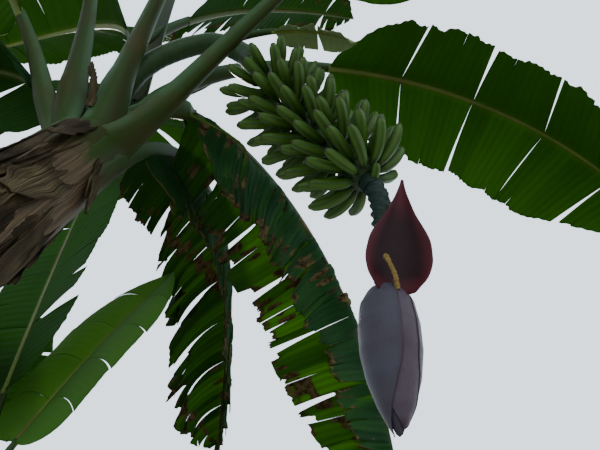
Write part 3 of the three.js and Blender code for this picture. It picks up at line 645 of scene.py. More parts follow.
# Materials, each built from nodes
class Paint:
    """One material. Its functions add nodes and return an output to use in the next."""

    def __init__(self, name):
        self.material = bpy.data.materials.new(name)
        self.material.use_nodes = True
        self.tree = self.material.node_tree
        self.tree.nodes.clear()

    def put(self, socket, value):
        if isinstance(value, bpy.types.NodeSocket):
            self.tree.links.new(value, socket)
        elif socket.type == "RGBA":
            socket.default_value = (*value, 1)
        else:
            socket.default_value = value

    def add(self, kind, values=(), **settings):
        node = self.tree.nodes.new("ShaderNode" + kind)
        for name, value in settings.items():
            setattr(node, name, value)
        for place, value in dict(values).items():
            self.put(node.inputs[place], value)
        return node

    def mark(self, name):
        return self.add("Attribute", attribute_name=name).outputs["Fac"]

    def maths(self, operation, first, second=0.0, third=0.0):
        return self.add("Math", {0: first, 1: second, 2: third}, operation=operation).outputs[0]

    def times(self, first, second):
        return self.maths("MULTIPLY", first, second)

    def plus(self, first, second):
        return self.maths("ADD", first, second)

    def less(self, value):
        """One minus the value."""
        return self.maths("SUBTRACT", 1.0, value)

    def step(self, value, low, high):
        values = {"Value": value, "From Min": low, "From Max": high}
        return self.add("MapRange", values, interpolation_type="SMOOTHSTEP").outputs[0]

    def blend(self, factor, first, second):
        return self.add("Mix", {0: factor, 6: first, 7: second}, data_type="RGBA").outputs[2]

    def wave(self, value, pitch):
        """A sine wave from 0.5 to 1.5."""
        turned = self.times(value, 2 * math.pi / pitch)
        return self.maths("MULTIPLY_ADD", self.maths("SINE", turned), 0.5, 1.0)

    def noise(self, vector, scale, detail=3.0, rough=0.5):
        values = {"Vector": vector, "Scale": scale, "Detail": detail, "Roughness": rough}
        return self.add("TexNoise", values).outputs[0]

    def place(self, stretch=(1, 1, 1)):
        coordinates = self.add("TexCoord").outputs["Object"]
        return self.add("Mapping", {"Vector": coordinates, "Scale": stretch}).outputs[0]

    def flow(self, run_scale, turn_scale):
        """A place on a stem or stalk: along it, and round it."""
        along_it = self.times(self.mark("run"), run_scale)
        angle = self.times(self.mark("turn"), 2 * math.pi)
        x = self.times(self.maths("COSINE", angle), turn_scale)
        y = self.times(self.maths("SINE", angle), turn_scale)
        return self.add("CombineXYZ", {0: x, 1: y, 2: along_it}).outputs[0]

    def finish(self, color, roughness, height, depth, strength,
               glow=None, share=0.0, specular=0.15, sheen=0.0):
        """The surface: a bump from the height, and light that comes through where a glow is given."""
        shader = self.add("BsdfPrincipled", {"Base Color": color, "Roughness": roughness})
        self.put(shader.inputs["Specular IOR Level"], specular)
        self.put(shader.inputs["Sheen Weight"], sheen)
        bump = self.add("Bump", {"Height": height, "Distance": depth, "Strength": strength})
        self.put(shader.inputs["Normal"], bump.outputs[0])
        surface = shader.outputs[0]
        if glow is not None:
            through = self.add("BsdfTranslucent", {"Color": glow}).outputs[0]
            surface = self.add("MixShader", {0: share, 1: surface, 2: through}).outputs[0]
        self.add("OutputMaterial", {"Surface": surface})
        return self.material


def leaf_paint(name, dark, light, under_tint, glow_tint, share):
    paint = Paint(name)
    run, out, worn = paint.mark("run"), paint.mark("out"), paint.mark("worn")
    under, tone = paint.mark("under"), paint.mark("tone")
    place = paint.place()
    wander = paint.noise(place, 9.0, 2.0)
    shifted = paint.plus(run, paint.times(wander, 9.0))
    pleat, vein = paint.wave(shifted, PLEAT), paint.wave(run, VEIN)
    lines = paint.plus(paint.times(pleat, 0.6), paint.times(vein, 0.4))
    relief = paint.less(paint.mark("smooth"))
    lines = paint.times(lines, relief)
    cloud = paint.step(paint.noise(place, 3.5, 4.0), 0.35, 0.7)
    green = paint.blend(paint.times(lines, 0.75), dark, light)
    green = paint.blend(paint.times(cloud, 0.4), green, light)
    lit = paint.mark("lit")
    green = paint.blend(paint.times(lit, paint.times(tone, 0.9)), green, light)
    near_rib = paint.times(paint.step(out, 0.12, 0.0), 0.4)
    green = paint.blend(near_rib, green, (0.14, 0.20, 0.03))
    green = paint.blend(paint.times(under, 0.45), green, under_tint)
    streaks = paint.noise(paint.flow(0.05, 2.6), 1.0, 5.0, 0.65)
    dry = paint.blend(paint.step(streaks, 0.35, 0.7), (0.016, 0.011, 0.005), (0.15, 0.115, 0.050))
    dryness = paint.step(paint.plus(worn, paint.times(streaks, 0.75)), 0.72, 0.98)
    color = paint.blend(dryness, green, dry)
    roughness = paint.plus(paint.times(dryness, 0.25), 0.62)
    shaded = tuple(0.4 * part for part in glow_tint)
    bright = paint.blend(paint.times(lines, 0.6), glow_tint, shaded)
    dim = paint.less(paint.times(paint.plus(lit, tone), 0.6))
    glow = paint.blend(dim, bright, (0.006, 0.026, 0.005))
    glow = paint.blend(dryness, glow, (0.09, 0.05, 0.02))
    height = paint.times(paint.plus(paint.times(vein, 0.3), pleat), relief)
    return paint.finish(color, roughness, height, 0.0016, 0.6, glow, share, specular=0.03)


def rib_paint():
    paint = Paint("rib_olive")
    place = paint.place()
    bright = paint.blend(paint.noise(place, 14.0, 3.0), (0.07, 0.11, 0.012), (0.17, 0.20, 0.03))
    color = paint.blend(paint.mark("tone"), (0.015, 0.032, 0.008), bright)
    color = paint.blend(paint.step(paint.noise(place, 5.0), 0.5, 0.75), color, (0.10, 0.06, 0.02))
    return paint.finish(color, 0.5, paint.noise(place, 90.0), 0.001, 0.3)


def petiole_paint():
    paint = Paint("petiole_wax_and_painted_sheen")
    edge = paint.mark("edge")
    fibre = paint.noise(paint.flow(0.006, 9.0), 1.0, 4.0, 0.6)
    blotch = paint.noise(paint.place(), 6.0, 4.0)
    middle = (0.015, 0.034, 0.005)
    # Across the stalk: a dark olive middle, green beside it, and pale blue-green along both edges, which is
    # painted sheen on the rounded, waxy stalk
    color = paint.blend(paint.step(edge, 0.1, 0.55), (0.015, 0.018, 0.002), middle)
    color = paint.blend(paint.step(edge, 0.6, 0.98), color, (0.036, 0.078, 0.034))
    color = paint.blend(paint.times(fibre, 0.5), color, middle)
    color = paint.blend(paint.times(paint.step(blotch, 0.5, 0.72), 0.8), color, (0.030, 0.025, 0.006))
    straw = paint.noise(paint.flow(0.004, 26.0), 1.0, 6.0, 0.7)
    dry = paint.blend(paint.step(straw, 0.3, 0.7), (0.009, 0.006, 0.004), (0.105, 0.072, 0.040))
    frayed = paint.plus(paint.noise(paint.place(), 11.0, 6.0, 0.7), paint.times(straw, 0.5))
    ragged = paint.plus(paint.mark("worn"), paint.times(frayed, 0.75))
    color = paint.blend(paint.step(ragged, 0.62, 1.0), color, dry)
    height = paint.noise(paint.flow(0.004, 22.0), 1.0, 3.0)
    return paint.finish(color, 0.5, height, 0.002, 0.45, specular=0.09)


def stem_paint():
    paint = Paint("dry_sheaths")
    long_fibre = paint.noise(paint.flow(0.0035, 16.0), 1.0, 6.0, 0.7)
    patch = paint.noise(paint.place((1, 1, 0.5)), 5.0, 4.0)
    color = paint.blend(paint.step(long_fibre, 0.3, 0.72), (0.005, 0.004, 0.002), (0.058, 0.041, 0.021))
    shade = paint.step(paint.noise(paint.place((1, 1, 0.4)), 9.0, 4.0, 0.6), 0.35, 0.65)
    color = paint.blend(paint.times(shade, 0.6), color, (0.018, 0.012, 0.008))
    wax = paint.blend(paint.noise(paint.place(), 20.0), (0.022, 0.034, 0.012), (0.07, 0.085, 0.045))
    color = paint.blend(paint.times(paint.step(patch, 0.5, 0.62), 0.8), color, wax)
    color = paint.blend(paint.mark("worn"), color, (0.014, 0.010, 0.007))
    height = paint.plus(long_fibre, paint.noise(paint.place(), 45.0, 4.0))
    return paint.finish(color, 0.75, height, 0.006, 0.6, specular=0.12)


def finger_paint():
    paint = Paint("green_fruit")
    valley, tip = paint.mark("valley"), paint.mark("tip")
    place = paint.place()
    color = paint.blend(paint.noise(place, 25.0, 3.0), (0.005, 0.024, 0.002), (0.019, 0.060, 0.004))
    color = paint.blend(paint.times(valley, 0.4), color, (0.070, 0.130, 0.008))
    color = paint.blend(paint.step(tip, 0.3, 0.02), color, (0.006, 0.020, 0.003))
    speck = paint.step(paint.noise(place, 70.0, 2.0), 0.66, 0.74)
    color = paint.blend(paint.times(speck, 0.6), color, (0.06, 0.05, 0.02))
    color = paint.blend(paint.step(tip, 0.955, 0.985), color, (0.022, 0.016, 0.010))
    return paint.finish(color, 0.45, paint.noise(place, 55.0), 0.001, 0.25, specular=0.18)


def bunch_stalk_paint():
    paint = Paint("bunch_stalk_green")
    place = paint.place()
    scar = paint.mark("scar")
    color = paint.blend(paint.noise(place, 22.0, 4.0), (0.008, 0.024, 0.006), (0.024, 0.055, 0.016))
    dark = paint.blend(paint.noise(place, 40.0, 4.0), (0.003, 0.008, 0.006), (0.011, 0.028, 0.020))
    color = paint.blend(paint.mark("worn"), color, dark)
    color = paint.blend(paint.step(scar, 0.45, 1.0), color, (0.010, 0.010, 0.008))
    return paint.finish(color, 0.5, paint.noise(place, 110.0, 4.0), 0.0015, 0.5)


def bell_paint():
    paint = Paint("bell_bloom")
    line = paint.wave(paint.mark("turn"), 1 / BELL_LINES)
    place = paint.place()
    cloud = paint.step(paint.noise(place, 11.0, 5.0, 0.6), 0.25, 0.7)
    bare = paint.less(paint.mark("worn"))
    wax = paint.times(paint.plus(paint.times(cloud, 0.5), 0.42), bare)
    bloom = paint.blend(paint.mark("tone"), (0.043, 0.049, 0.064), (0.070, 0.058, 0.076))
    color = paint.blend(wax, (0.026, 0.008, 0.015), bloom)
    color = paint.blend(paint.times(line, 0.28), color, (0.028, 0.015, 0.026))
    speck = paint.step(paint.noise(place, 150.0, 2.0), 0.68, 0.75)
    color = paint.blend(paint.times(speck, 0.3), color, (0.015, 0.006, 0.010))
    return paint.finish(color, 0.5, line, 0.0008, 0.4, specular=0.12, sheen=0.05)


def bract_paint():
    paint = Paint("bract_maroon")
    line = paint.wave(paint.mark("turn"), 1 / BRACT_LINES)
    place = paint.place()
    tone = paint.mark("tone")
    # The inner face holds painted shade and light: dark in the cup's middle, lighter where the tone mark is
    # high along its sides, foot and upper part
    inner_painted_shade_and_light = paint.blend(paint.times(tone, 0.8), (0.012, 0.0025, 0.004), (0.085, 0.014, 0.020))
    outer = paint.blend(paint.noise(place, 14.0, 4.0), (0.03, 0.009, 0.016), (0.08, 0.05, 0.07))
    color = paint.blend(paint.mark("under"), inner_painted_shade_and_light, outer)
    color = paint.blend(paint.times(line, 0.25), color, (0.012, 0.003, 0.005))
    return paint.finish(color, 0.42, line, 0.0007, 0.3, (0.30, 0.02, 0.02), 0.12, specular=0.1)


def dry_paint():
    paint = Paint("dry_sheath_strip")
    straw = paint.step(paint.noise(paint.flow(0.005, 5.0), 1.0, 5.0, 0.6), 0.3, 0.72)
    cloud = paint.noise(paint.place(), 7.0, 3.0)
    pale = paint.blend(paint.step(cloud, 0.35, 0.7), (0.026, 0.017, 0.008), (0.12, 0.092, 0.048))
    color = paint.blend(straw, (0.005, 0.004, 0.002), pale)
    return paint.finish(color, 0.85, straw, 0.002, 0.35, (0.06, 0.035, 0.015), 0.12, specular=0.1)


def plain_paint(name, first, second, scale, roughness):
    paint = Paint(name)
    grain = paint.noise(paint.place(), scale, 4.0, 0.6)
    return paint.finish(paint.blend(grain, first, second), roughness, grain, 0.003, 0.5)


# Stems
def stem_axis(curve, radii, cone):
    """Levels up a stem: the middle and the two ways across of each, and its half widths those ways."""
    share = np.linspace(0, 1, round(curve[-1][2] / STEM_STEP))
    a, b, c = (np.asarray(point, float) for point in curve)
    t = share[:, None]
    at = a * (1 - t) ** 2 + 2 * b * t * (1 - t) + c * t ** 2
    slope = unit(2 * (b - a) * (1 - t) + 2 * (c - b) * t)
    radius = along(radii, share * radii[-1][0])
    lean = unit(slope * [1, 1, 0])
    side = np.stack([-lean[:, 1], lean[:, 0], 0 * lean[:, 0]], -1)
    long = radius / slope[:, 2]
    rises = np.linspace(0, cone[-1][0], 14)[1:]
    tops = along([(0, radii[-1][1]), *cone], rises)
    at = np.vstack([at, at[-1] + slope[-1] * rises[:, None]])
    lean, side = (np.vstack([way, np.repeat(way[-1:], len(rises), 0)]) for way in (lean, side))
    return at, lean, side, np.concatenate([long, tops]), np.concatenate([radius, tops])


def stem_skin(stem, level, angle, off):
    """Points on a stem at levels above the ground, round it from its lean, and off its skin."""
    at, *rest = stem
    middle, lean, side = (walk(level, at[:, 2], part) for part in (at, *rest[:2]))
    long, wide = ((np.interp(level, at[:, 2], part) + off)[..., None] for part in rest[2:])
    return middle + np.cos(angle)[..., None] * long * lean + np.sin(angle)[..., None] * wide * side


def add_sheath(skin, stem, rib, crown, low=26, high=14):
    """A leaf's sheath: it hugs the stem, dry below and waxy above, and draws in to the leaf's stalk."""
    roll = dice(rib.seed * 17)
    size = rib.size
    rank = 5 - rib.foot[2] / 12
    below = mix(*SHEATH_LENGTH, roll()) * size
    foot = np.array(rib.foot[:2], float)
    centre = math.atan2(foot @ stem[2][-1][:2], foot @ stem[1][-1][:2])
    share = np.concatenate([np.zeros(low), np.linspace(0, rib.clasp / rib.length, high)])
    base = crown[2] + rib.foot[2]
    level = np.concatenate([base - below * np.linspace(1, 0.02, low), base + np.linspace(0, 90 * size, high)])
    level = level[:, None]
    weight = np.concatenate([np.zeros(low), smooth(np.linspace(0, 1, high) * 1.1)])[:, None]
    rings, edge = stalk_rings(rib, share)
    across, rise = np.cos(STALK_TURN), np.sin(STALK_TURN)
    grow = smooth((level - level[0]) / (below * 0.55))
    spread = np.radians(mix(*SHEATH_SPREAD, grow)) * (1 - 0.1 * weight)
    frill = waves(level / 100, roll, 3, 0.4, 1.5) * 0.06
    angle = centre + across * (spread + frill) + (1 - grow) * (roll() - 0.5) * 0.5
    bulge = (3 + rank) * size + 5 * size * (1 - across ** 2) * grow
    off = np.where(rise < 0, bulge + 1.5 * np.sin(across * 16) * size, -6 * size)
    wrapped = stem_skin(stem, level + 0 * across, angle, off)
    dry = np.clip((base - 60 * size - level) / (260 * size), -0.4, 1)
    skin.add_loft(mix(wrapped, rings, weight[..., None]), 1, run=level, edge=edge,
                  turn=STALK_TURN / (2 * np.pi), worn=dry)


def add_flap(skin, stem, roll, top, size):
    """A strip of dry sheath that peels off the stem."""
    length, half = mix(*FLAP_LENGTH, roll()) * size, mix(*FLAP_HALF, roll() ** 2) * size
    level = top - mix(*FLAP_DROP, roll() ** 1.4) * size
    centre = roll() * 2 * np.pi
    share = np.linspace(0, 1, 31)[:, None]
    across = np.linspace(-1, 1, 6)
    taper = np.sqrt(np.clip(1 - share ** 6, 0.02, 1)) * (1 - 0.3 * waves(share * 2, roll, 3, 0.5, 2))
    radius = np.interp(level, stem[0][:, 2], stem[4])
    peel = mix(*FLAP_PEEL, roll() ** 2) * size * share ** 2
    angle = centre + across * half * taper / radius + share * (roll() - 0.5) * 1.1
    crumple = waves(share * 2 + across * 0.6, roll, 4, 0.6, 2.4) * 7 * size
    off = 9 * size + peel + crumple * share + 6 * size * across ** 2 * share
    points = stem_skin(stem, level - share * length + 0 * across, angle, off)
    skin.add_sheet(points, BLADE_THICK, 2, run=share * length, turn=across * 0.5 + centre)


def add_stem(skin, stem, seed):
    """Overlapping sheaths: each one's edge runs up the stem in a slow spiral and stands off a little."""
    roll = dice(seed)
    at, lean, side, long, wide = stem
    turn = np.arange(STEM_SIDES) / STEM_SIDES
    run = np.concatenate([[0], np.cumsum(np.linalg.norm(np.diff(at, axis=0), axis=1))])[:, None]
    wander = waves(run / 1000, roll, 3, 0.3, 1.2) * 0.08
    saw = (turn * SHEATHS + run / SHEATH_TURN + wander) % 1
    step = np.where(saw < 0.94, saw / 0.94, (1 - saw) / 0.06)
    fine = waves(turn * 9 + run / 1500, roll, 4, 1, 4) * 0.6
    relief = -8 + SHEATH_STEP * step + fine + waves(run / 1000, roll, 4, 1, 7) * 1.2
    relief[0] = -6
    angle = 2 * np.pi * turn
    across = np.cos(angle)[:, None] * (long[:, None] + relief)[..., None] * lean[:, None]
    away = np.sin(angle)[:, None] * (wide[:, None] + relief)[..., None] * side[:, None]
    rings = at[:, None] + across + away
    rings[0, :, 2] = 0
    skin.add_loft(rings, run=run, turn=turn, worn=smooth((step - 0.86) / 0.12) * 0.8)


def make_stem(name, curve, radii, cone, ribs, seed, flaps):
    skin = Skin()
    stem = stem_axis(curve, radii, cone)
    add_stem(skin, stem, seed)
    for rib in ribs:
        add_sheath(skin, stem, rib, curve[-1])
    roll = dice(seed + 90)
    for _ in range(flaps):
        add_flap(skin, stem, roll, curve[-1][2], ribs[0].size)
    skin.piece(name + "_bark", [STEM, PETIOLE, DRY], [name])


def make_petiole(rib):
    skin = Skin()
    first = rib.clasp / rib.length
    steps = max(8, round((rib.stalk - first) * rib.length / 18))
    add_stalk(skin, rib, first, rib.stalk + 12 / rib.length, steps)
    skin.piece("stalk_" + rib.name, [PETIOLE], ["petiole_" + rib.name])


# Bunch
def stalk_frame(share):
    """The middle of the bunch's stalk at shares of it, the ways on, right and up, and its length."""
    at, forward, length = trace(STALK_LINE, share)
    right = unit(np.array([0.0, -1.0, 0.0]) + forward * forward[:, 1:2])
    return at, forward, right, -np.cross(right, forward), length


def make_stalk(name, first, last, halves, scars, seed):
    """A length of the bunch's stalk, with scars that stand off it in a spiral."""
    steps = max(20, round((last - first) * BUNCH_LENGTH / BUNCH_STEP))
    share = np.linspace(first, last, steps)
    at, _, right, up, length = stalk_frame(share)
    turn = np.arange(BUNCH_SIDES) / BUNCH_SIDES
    run = (share * length)[:, None]
    half = mix(*halves, np.linspace(0, 1, steps))[:, None]
    ridge = (run / SCAR_PITCH + 2 * turn) % 1
    knob = smooth(1 - np.abs(ridge - 0.5) * 3.2) * (0.75 + 0.25 * np.sin(2 * np.pi * (3 * turn + run / 31)))
    size = half + scars * (knob - 0.35) + waves(run / 100, dice(seed), 3, 0.3, 1.6) * 0.7
    rings = tube(at, size, right[:, None], up[:, None], 2 * np.pi * turn)
    mark = smooth(np.abs(ridge - 0.78) * -9 + 1) * (scars > 1)
    skin = Skin()
    skin.add_loft(rings, scar=mark, worn=smooth((share - 0.775) * 60)[:, None])
    skin.piece(name + "_skin", [BUNCH], [name])


def add_finger(skin, root, out, back, length, half, sides=20, steps=22):
    """A finger with soft ridges, curved up from the stalk, with a dark stub at its tip."""
    side = np.cross(out, back)
    shares = np.linspace(0, 1, steps)
    rise = np.radians(mix(*FINGER_RISE, shares))[:, None]
    ways = out * np.cos(rise) + back * np.sin(rise)
    walked = np.vstack([np.zeros(3), np.cumsum((ways[1:] + ways[:-1]) / 2, axis=0)])
    swell = along(FINGER_SWELL, shares)[:, None]
    angle = 2 * np.pi * (np.arange(sides) + 0.5) / sides
    valley = 0.5 - 0.5 * np.cos(FINGER_RIDGES * angle)
    size = half * swell * (1 - RIDGE_DEPTH * valley * np.clip(swell, 0, 1))
    rings = tube(root + walked * length / (steps - 1), size, side, -np.cross(side, ways)[:, None], angle)
    skin.add_loft(rings, tip=shares[:, None], valley=valley)


def add_collar(skin, place, length, count, sides=48, levels=12):
    """The cushion on the stalk that the fingers of a hand grow from."""
    middle, _, right, up, _ = stalk_frame(place + np.linspace(-0.5, 0.5, levels) * COLLAR_HEIGHT / length)
    angle = 2 * np.pi * np.arange(sides) / sides
    bulge = np.sqrt(np.maximum(1 - np.linspace(-1, 1, levels) ** 2, 0))[:, None]
    size = mix(26, COLLAR_HALF - 2, bulge) + 2.5 * np.cos(angle * count * 2) * bulge
    skin.add_loft(tube(middle, size, right[:, None], up[:, None], angle), tip=0.03)


def make_hand(index):
    skin = Skin()
    share = index / (HANDS - 1)
    place = mix(*HAND_SPAN, share)
    *frames, length = stalk_frame(np.array([place]))
    at, forward, right, up = (part[0] for part in frames)
    roll = dice(500 + index)
    count = round(mix(*HAND_FINGERS, share))
    for row in range(2):
        for finger in range(count):
            turn = 2 * math.pi * (finger + row / 2 + 0.2 * (roll() - 0.5)) / count + index * HAND_TURN
            size = mix(*FINGER_LENGTH, share) * (0.93 + 0.1 * roll())
            out = right * math.cos(turn) + up * math.sin(turn)
            root = at + out * FINGER_ROOT - forward * (row - 0.5) * ROW_STEP
            add_finger(skin, root, out, -forward, size, mix(*FINGER_HALF, share))
    add_collar(skin, place, length, count)
    if index == HANDS - 1:
        add_stub(skin)
    skin.piece("hand_%d_fruit" % (index + 1), [FRUIT], ["hand_%d" % (index + 1)])


def add_stub(skin):
    """A short finger that never filled, below the last hand."""
    at, forward, right, up, _ = stalk_frame(np.array([STUB_FINGER["place"]]))
    turn = STUB_FINGER["turn"]
    out = right[0] * math.cos(turn) + up[0] * math.sin(turn)
    add_finger(skin, at[0] + out * 8, out, -forward[0], STUB_FINGER["length"], STUB_FINGER["half"])


def bell_frame():
    top, tip = np.array(BELL_TOP, float), np.array(BELL_TIP, float)
    axis = unit(tip - top)
    right = unit(np.cross(axis, [0.0, 1.0, 0.0]))
    return top, axis, right, np.cross(axis, right), float(np.linalg.norm(tip - top))


def add_bell_body(skin, top, axis, right, front, length, sides=90, steps=60):
    share = np.linspace(0, 1, steps)
    turn = np.arange(sides) / sides
    angle = 2 * np.pi * turn
    ribs = 0.35 * np.cos(angle * 30) * smooth(share * 5)[:, None]
    size = eased(BELL_PROFILE, share, 2)[:, None] - 1.5 + ribs
    rings = tube(top + axis * (share * length)[:, None], size, right, front, angle)
    skin.add_loft(rings, turn=turn, worn=smooth((0.05 - share) * 20)[:, None])


def add_bell_bract(skin, top, axis, right, front, length, centre, spread, last, hold, off, tone):
    """A bract that wraps part of the bell, keeps its spread up to the share hold and ends in a point."""
    share = np.linspace(0.02, last, 60)[:, None]
    across = np.linspace(-1, 1, 41)
    done = share / last
    narrow = np.sqrt(np.clip(1 - np.clip((done - hold) / (1 - hold), 0, 1) ** 1.7, 0, 1)) * spread + 0.02
    angle = centre + across * narrow
    lift = off + 1.2 * smooth(np.abs(across) * 8 - 7) + off * smooth((done - 0.8) / 0.2)
    size = np.maximum(along(BELL_PROFILE, share), 4) + lift
    points = tube(top + axis * (share * length), size, right, front, angle)
    edge = np.maximum(smooth((np.abs(across) - 0.93) * 14), smooth((done - 0.93) / 0.05))
    skin.add_sheet(points, 1.2, turn=angle / (2 * np.pi), worn=edge * 0.8, tone=tone)


def make_bell():
    skin = Skin()
    place = bell_frame()
    add_bell_body(skin, *place)
    for bract in BELL_BRACTS:
        add_bell_bract(skin, *place, **bract)
    skin.piece("bell_bracts", [BELL], ["bell"])


def make_lifted_bract():
    """The bract that stands up over the bell: a cupped sheet with a point, with painted shade in its middle
    and painted light along its sides, at its foot and towards its tip.
    """
    foot, tip = np.array(BRACT_FOOT, float), np.array(BRACT_TIP, float)
    axis = tip - foot
    right = unit(np.array([1.0, 0, 0]) - axis * axis[0] / (axis @ axis))
    front = -unit(np.cross(right, axis))
    share = np.linspace(0, 1, 60)[:, None]
    across = np.linspace(-1, 1, 41)
    width = eased(BRACT_WIDTHS, share[:, 0], 0.02)[:, None]
    edge = waves(share, dice(77), 3, 1, 4) * 2.0 * np.abs(across) ** 4
    depth = edge - across ** 2 * width * BRACT_CUP
    points = foot + axis * share[..., None] + right * (across * width * BRACT_HALF)[..., None]
    # Painted light and shade: the rim mask is high along the sides, at the foot and towards the tip, and low
    # in the cup's middle
    rim = np.maximum(smooth((np.abs(across) - 0.6) / 0.4), smooth((0.16 - share) / 0.12))
    rim = np.maximum(rim, smooth((share - 0.55) / 0.3))
    skin = Skin()
    skin.add_sheet(points + front * depth[..., None], 2.0, turn=0.25 * across, tone=rim)
    skin.piece("lifted_bract_sheet", [BRACT], ["lifted_bract"])


def add_strand(skin, path, halves, kind, seed, flat=1.0, steps=44, sides=14):
    """A thin crooked strand along a path, flatter across than it is wide."""
    roll = dice(seed)
    share = np.linspace(0, 1, steps)
    at, ways, _ = trace(spline(path, 120), share)
    side = unit(np.cross(ways, [0.0, 1.0, 0.2]))
    up = np.cross(side, ways)
    half = along(halves, share) * (1 + 0.25 * waves(share * 6, roll, 4, 0.6, 2.5))
    angle = 2 * np.pi * np.arange(sides) / sides
    spin = waves(share * 2, roll, 3, 0.3, 1)[:, None] * 1.2
    wobble = half[:, None] * (1 + 0.2 * np.cos(3 * angle + 5 * spin))
    wide, high = wobble * np.cos(angle), wobble * np.sin(angle) * flat
    turned, raised = wide * np.cos(spin) - high * np.sin(spin), wide * np.sin(spin) + high * np.cos(spin)
    rings = at[:, None] + turned[..., None] * side[:, None] + raised[..., None] * up[:, None]
    skin.add_loft(rings, kind, run=(share * 200)[:, None], turn=angle / (2 * np.pi))


def make_remnants():
    """A dried flower at the foot of the lifted bract, and dry or torn strands among the leaf stalks."""
    skin = Skin()
    add_strand(skin, REMNANT_PATH, REMNANT_HALVES, 0, 71)
    skin.piece("old_flower", [OCHRE])
    skin = Skin()
    for index, strand in enumerate(DRY_STALKS):
        halves = [(0, strand["half"]), (0.8, strand["half"] * 0.8), (1, strand["half"] * 0.3)]
        add_strand(skin, strand["path"], halves, strand["kind"], 72 + index, 0.45)
    skin.piece("dry_strands", [DRY, OCHRE, DARK])


# What is made, in turn
STEM = stem_paint()
PETIOLE = petiole_paint()
GREEN = leaf_paint("leaf_green", dark=(0.005, 0.026, 0.002), light=(0.026, 0.085, 0.005),
                   under_tint=(0.014, 0.050, 0.014), glow_tint=(0.24, 0.56, 0.012), share=0.45)
DARK = leaf_paint("leaf_dark", dark=(0.002, 0.013, 0.004), light=(0.016, 0.058, 0.009),
                  under_tint=(0.008, 0.036, 0.018), glow_tint=(0.26, 0.52, 0.02), share=0.4)
BACKLIT = leaf_paint("leaf_backlit", dark=(0.020, 0.062, 0.010), light=(0.045, 0.115, 0.018),
                     under_tint=(0.040, 0.090, 0.030), glow_tint=(0.25, 0.46, 0.060), share=0.45)
PALE = leaf_paint("leaf_pale", dark=(0.05, 0.09, 0.03), light=(0.16, 0.22, 0.10),
                  under_tint=(0.20, 0.26, 0.16), glow_tint=(0.36, 0.50, 0.16), share=0.35)
DRY = dry_paint()
OCHRE = plain_paint("dried_flower_ochre", (0.055, 0.032, 0.008), (0.22, 0.15, 0.045), 55.0, 0.75)
RIB = rib_paint()
FRUIT = finger_paint()
BUNCH = bunch_stalk_paint()
BELL = bell_paint()
BRACT = bract_paint()
LEAF_PAINTS = dict(weeping=DARK, low_left=DARK, back_right=DARK, arching=DARK, sucker_right=BACKLIT)
STALK_LINE = spline(STALK_PATH)

ribs = [Rib(name, given, CROWN, CLASP, 1) for name, given in LEAVES.items()]
sucker_ribs = [Rib(name, given, SUCKER_CROWN, SUCKER_CLASP, 0.75) for name, given in SUCKER_LEAVES.items()]
make_stem("main_stem", STEM_CURVE, STEM_RADII, STEM_CONE, ribs, seed=3, flaps=110)
make_stem("sucker_stem", SUCKER_CURVE, SUCKER_RADII, SUCKER_CONE, sucker_ribs, seed=4, flaps=40)
for rib in ribs + sucker_ribs:
    make_petiole(rib)
    blades = ["blade_" + rib.name] + ["blade_" + rib.name + "_outer"] * (rib.name in SPLIT)
    make_leaf(rib, blades, LEAF_PAINTS.get(rib.name, GREEN))
make_leaf(Rib("crown_lobe", {**LEAVES["weeping"], **CROWN_LOBE}, CROWN, 1, 1), [], DARK)
flag = Rib("flag", FLAG, CROWN, 1, 0.5)
flag_skin = Skin()
add_stalk(flag_skin, flag, 0.0, flag.stalk + 0.02, 20)
flag_skin.piece("stalk_flag", [PETIOLE], ["flag_petiole"])
make_leaf(flag, ["flag_leaf"], PALE)

make_stalk("bunch_stalk_upper", 0, STALK_JOINT, (STALK_HALF[0], STALK_HALF[0]), scars=0.6, seed=61)
make_stalk("bunch_stalk_lower", STALK_JOINT, TAIL_START, STALK_HALF, scars=1.0, seed=62)
make_stalk("bunch_tail", TAIL_START, 1, TAIL_HALF, scars=6.0, seed=63)
for index in range(HANDS):
    make_hand(index)
make_bell()
make_lifted_bract()
make_remnants()


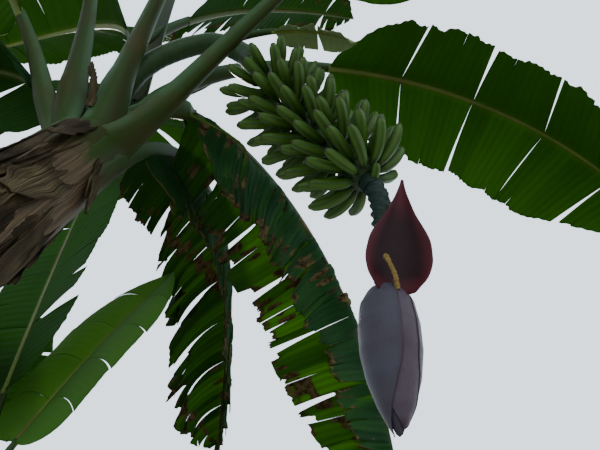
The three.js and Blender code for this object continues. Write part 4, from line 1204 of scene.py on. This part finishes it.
# Floor, light and camera
def make_floor():
    mesh = bpy.data.meshes.new("floor")
    corners = [(x * FLOOR_REACH, y * FLOOR_REACH, 0) for x, y in ((-1, -1), (1, -1), (1, 1), (-1, 1))]
    mesh.from_pydata(corners, [], [(0, 1, 2, 3)])
    mesh.materials.append(plain_paint("floor_pale", (0.30, 0.30, 0.29), (0.33, 0.33, 0.32), 0.6, 0.9))
    floor = bpy.data.objects.new("floor", mesh)
    bpy.context.scene.collection.objects.link(floor)
    floor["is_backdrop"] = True


def make_lights():
    """A sky that brightens upwards, a sun behind the leaves and a soft one in front."""
    world = bpy.data.worlds.new("pale_backdrop")
    world.use_nodes = True
    nodes, links = world.node_tree.nodes, world.node_tree.links
    background = nodes["Background"]
    background.inputs["Color"].default_value = (0.80, 0.91, 1.0, 1)
    split = nodes.new("ShaderNodeSeparateXYZ")
    links.new(nodes.new("ShaderNodeTexCoord").outputs["Generated"], split.inputs[0])
    ramp = nodes.new("ShaderNodeMapRange")
    links.new(split.outputs["Z"], ramp.inputs["Value"])
    for name, value in (("From Min", -0.25), ("From Max", 0.2), ("To Min", 0.3), ("To Max", 2.1)):
        ramp.inputs[name].default_value = value
    links.new(ramp.outputs["Result"], background.inputs["Strength"])
    bpy.context.scene.world = world
    for name, way, strength, soft, tint in (
        ("sun_behind", (0.30, -0.73, -0.62), 7.0, 8, (1.0, 0.95, 0.85)),
        ("sun_front", (-0.3, 0.85, -0.35), 0.7, 50, (1.0, 0.98, 0.95)),
    ):
        lamp = bpy.data.lights.new(name, "SUN")
        lamp.energy, lamp.angle, lamp.color = strength, math.radians(soft), tint
        placed = bpy.data.objects.new(name, lamp)
        toward = unit(np.array(way, float))
        pitch = math.acos(-toward[2])
        placed.rotation_euler = (pitch, 0, math.atan2(toward[1], toward[0]) - math.pi / 2)
        bpy.context.scene.collection.objects.link(placed)


def make_camera():
    lens = bpy.data.cameras.new("camera")
    lens.lens, lens.sensor_width = CAMERA_LENS, CAMERA_FILM
    camera = bpy.data.objects.new("camera", lens)
    camera.location, camera.rotation_euler = CAMERA_AT, CAMERA_TURN
    bpy.context.scene.collection.objects.link(camera)
    bpy.context.scene.camera = camera


make_floor()
make_lights()
make_camera()

boxes = {"cad": cad_box, "visual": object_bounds()}
{name: [[float(part) for part in corner] for corner in box] for name, box in boxes.items()}
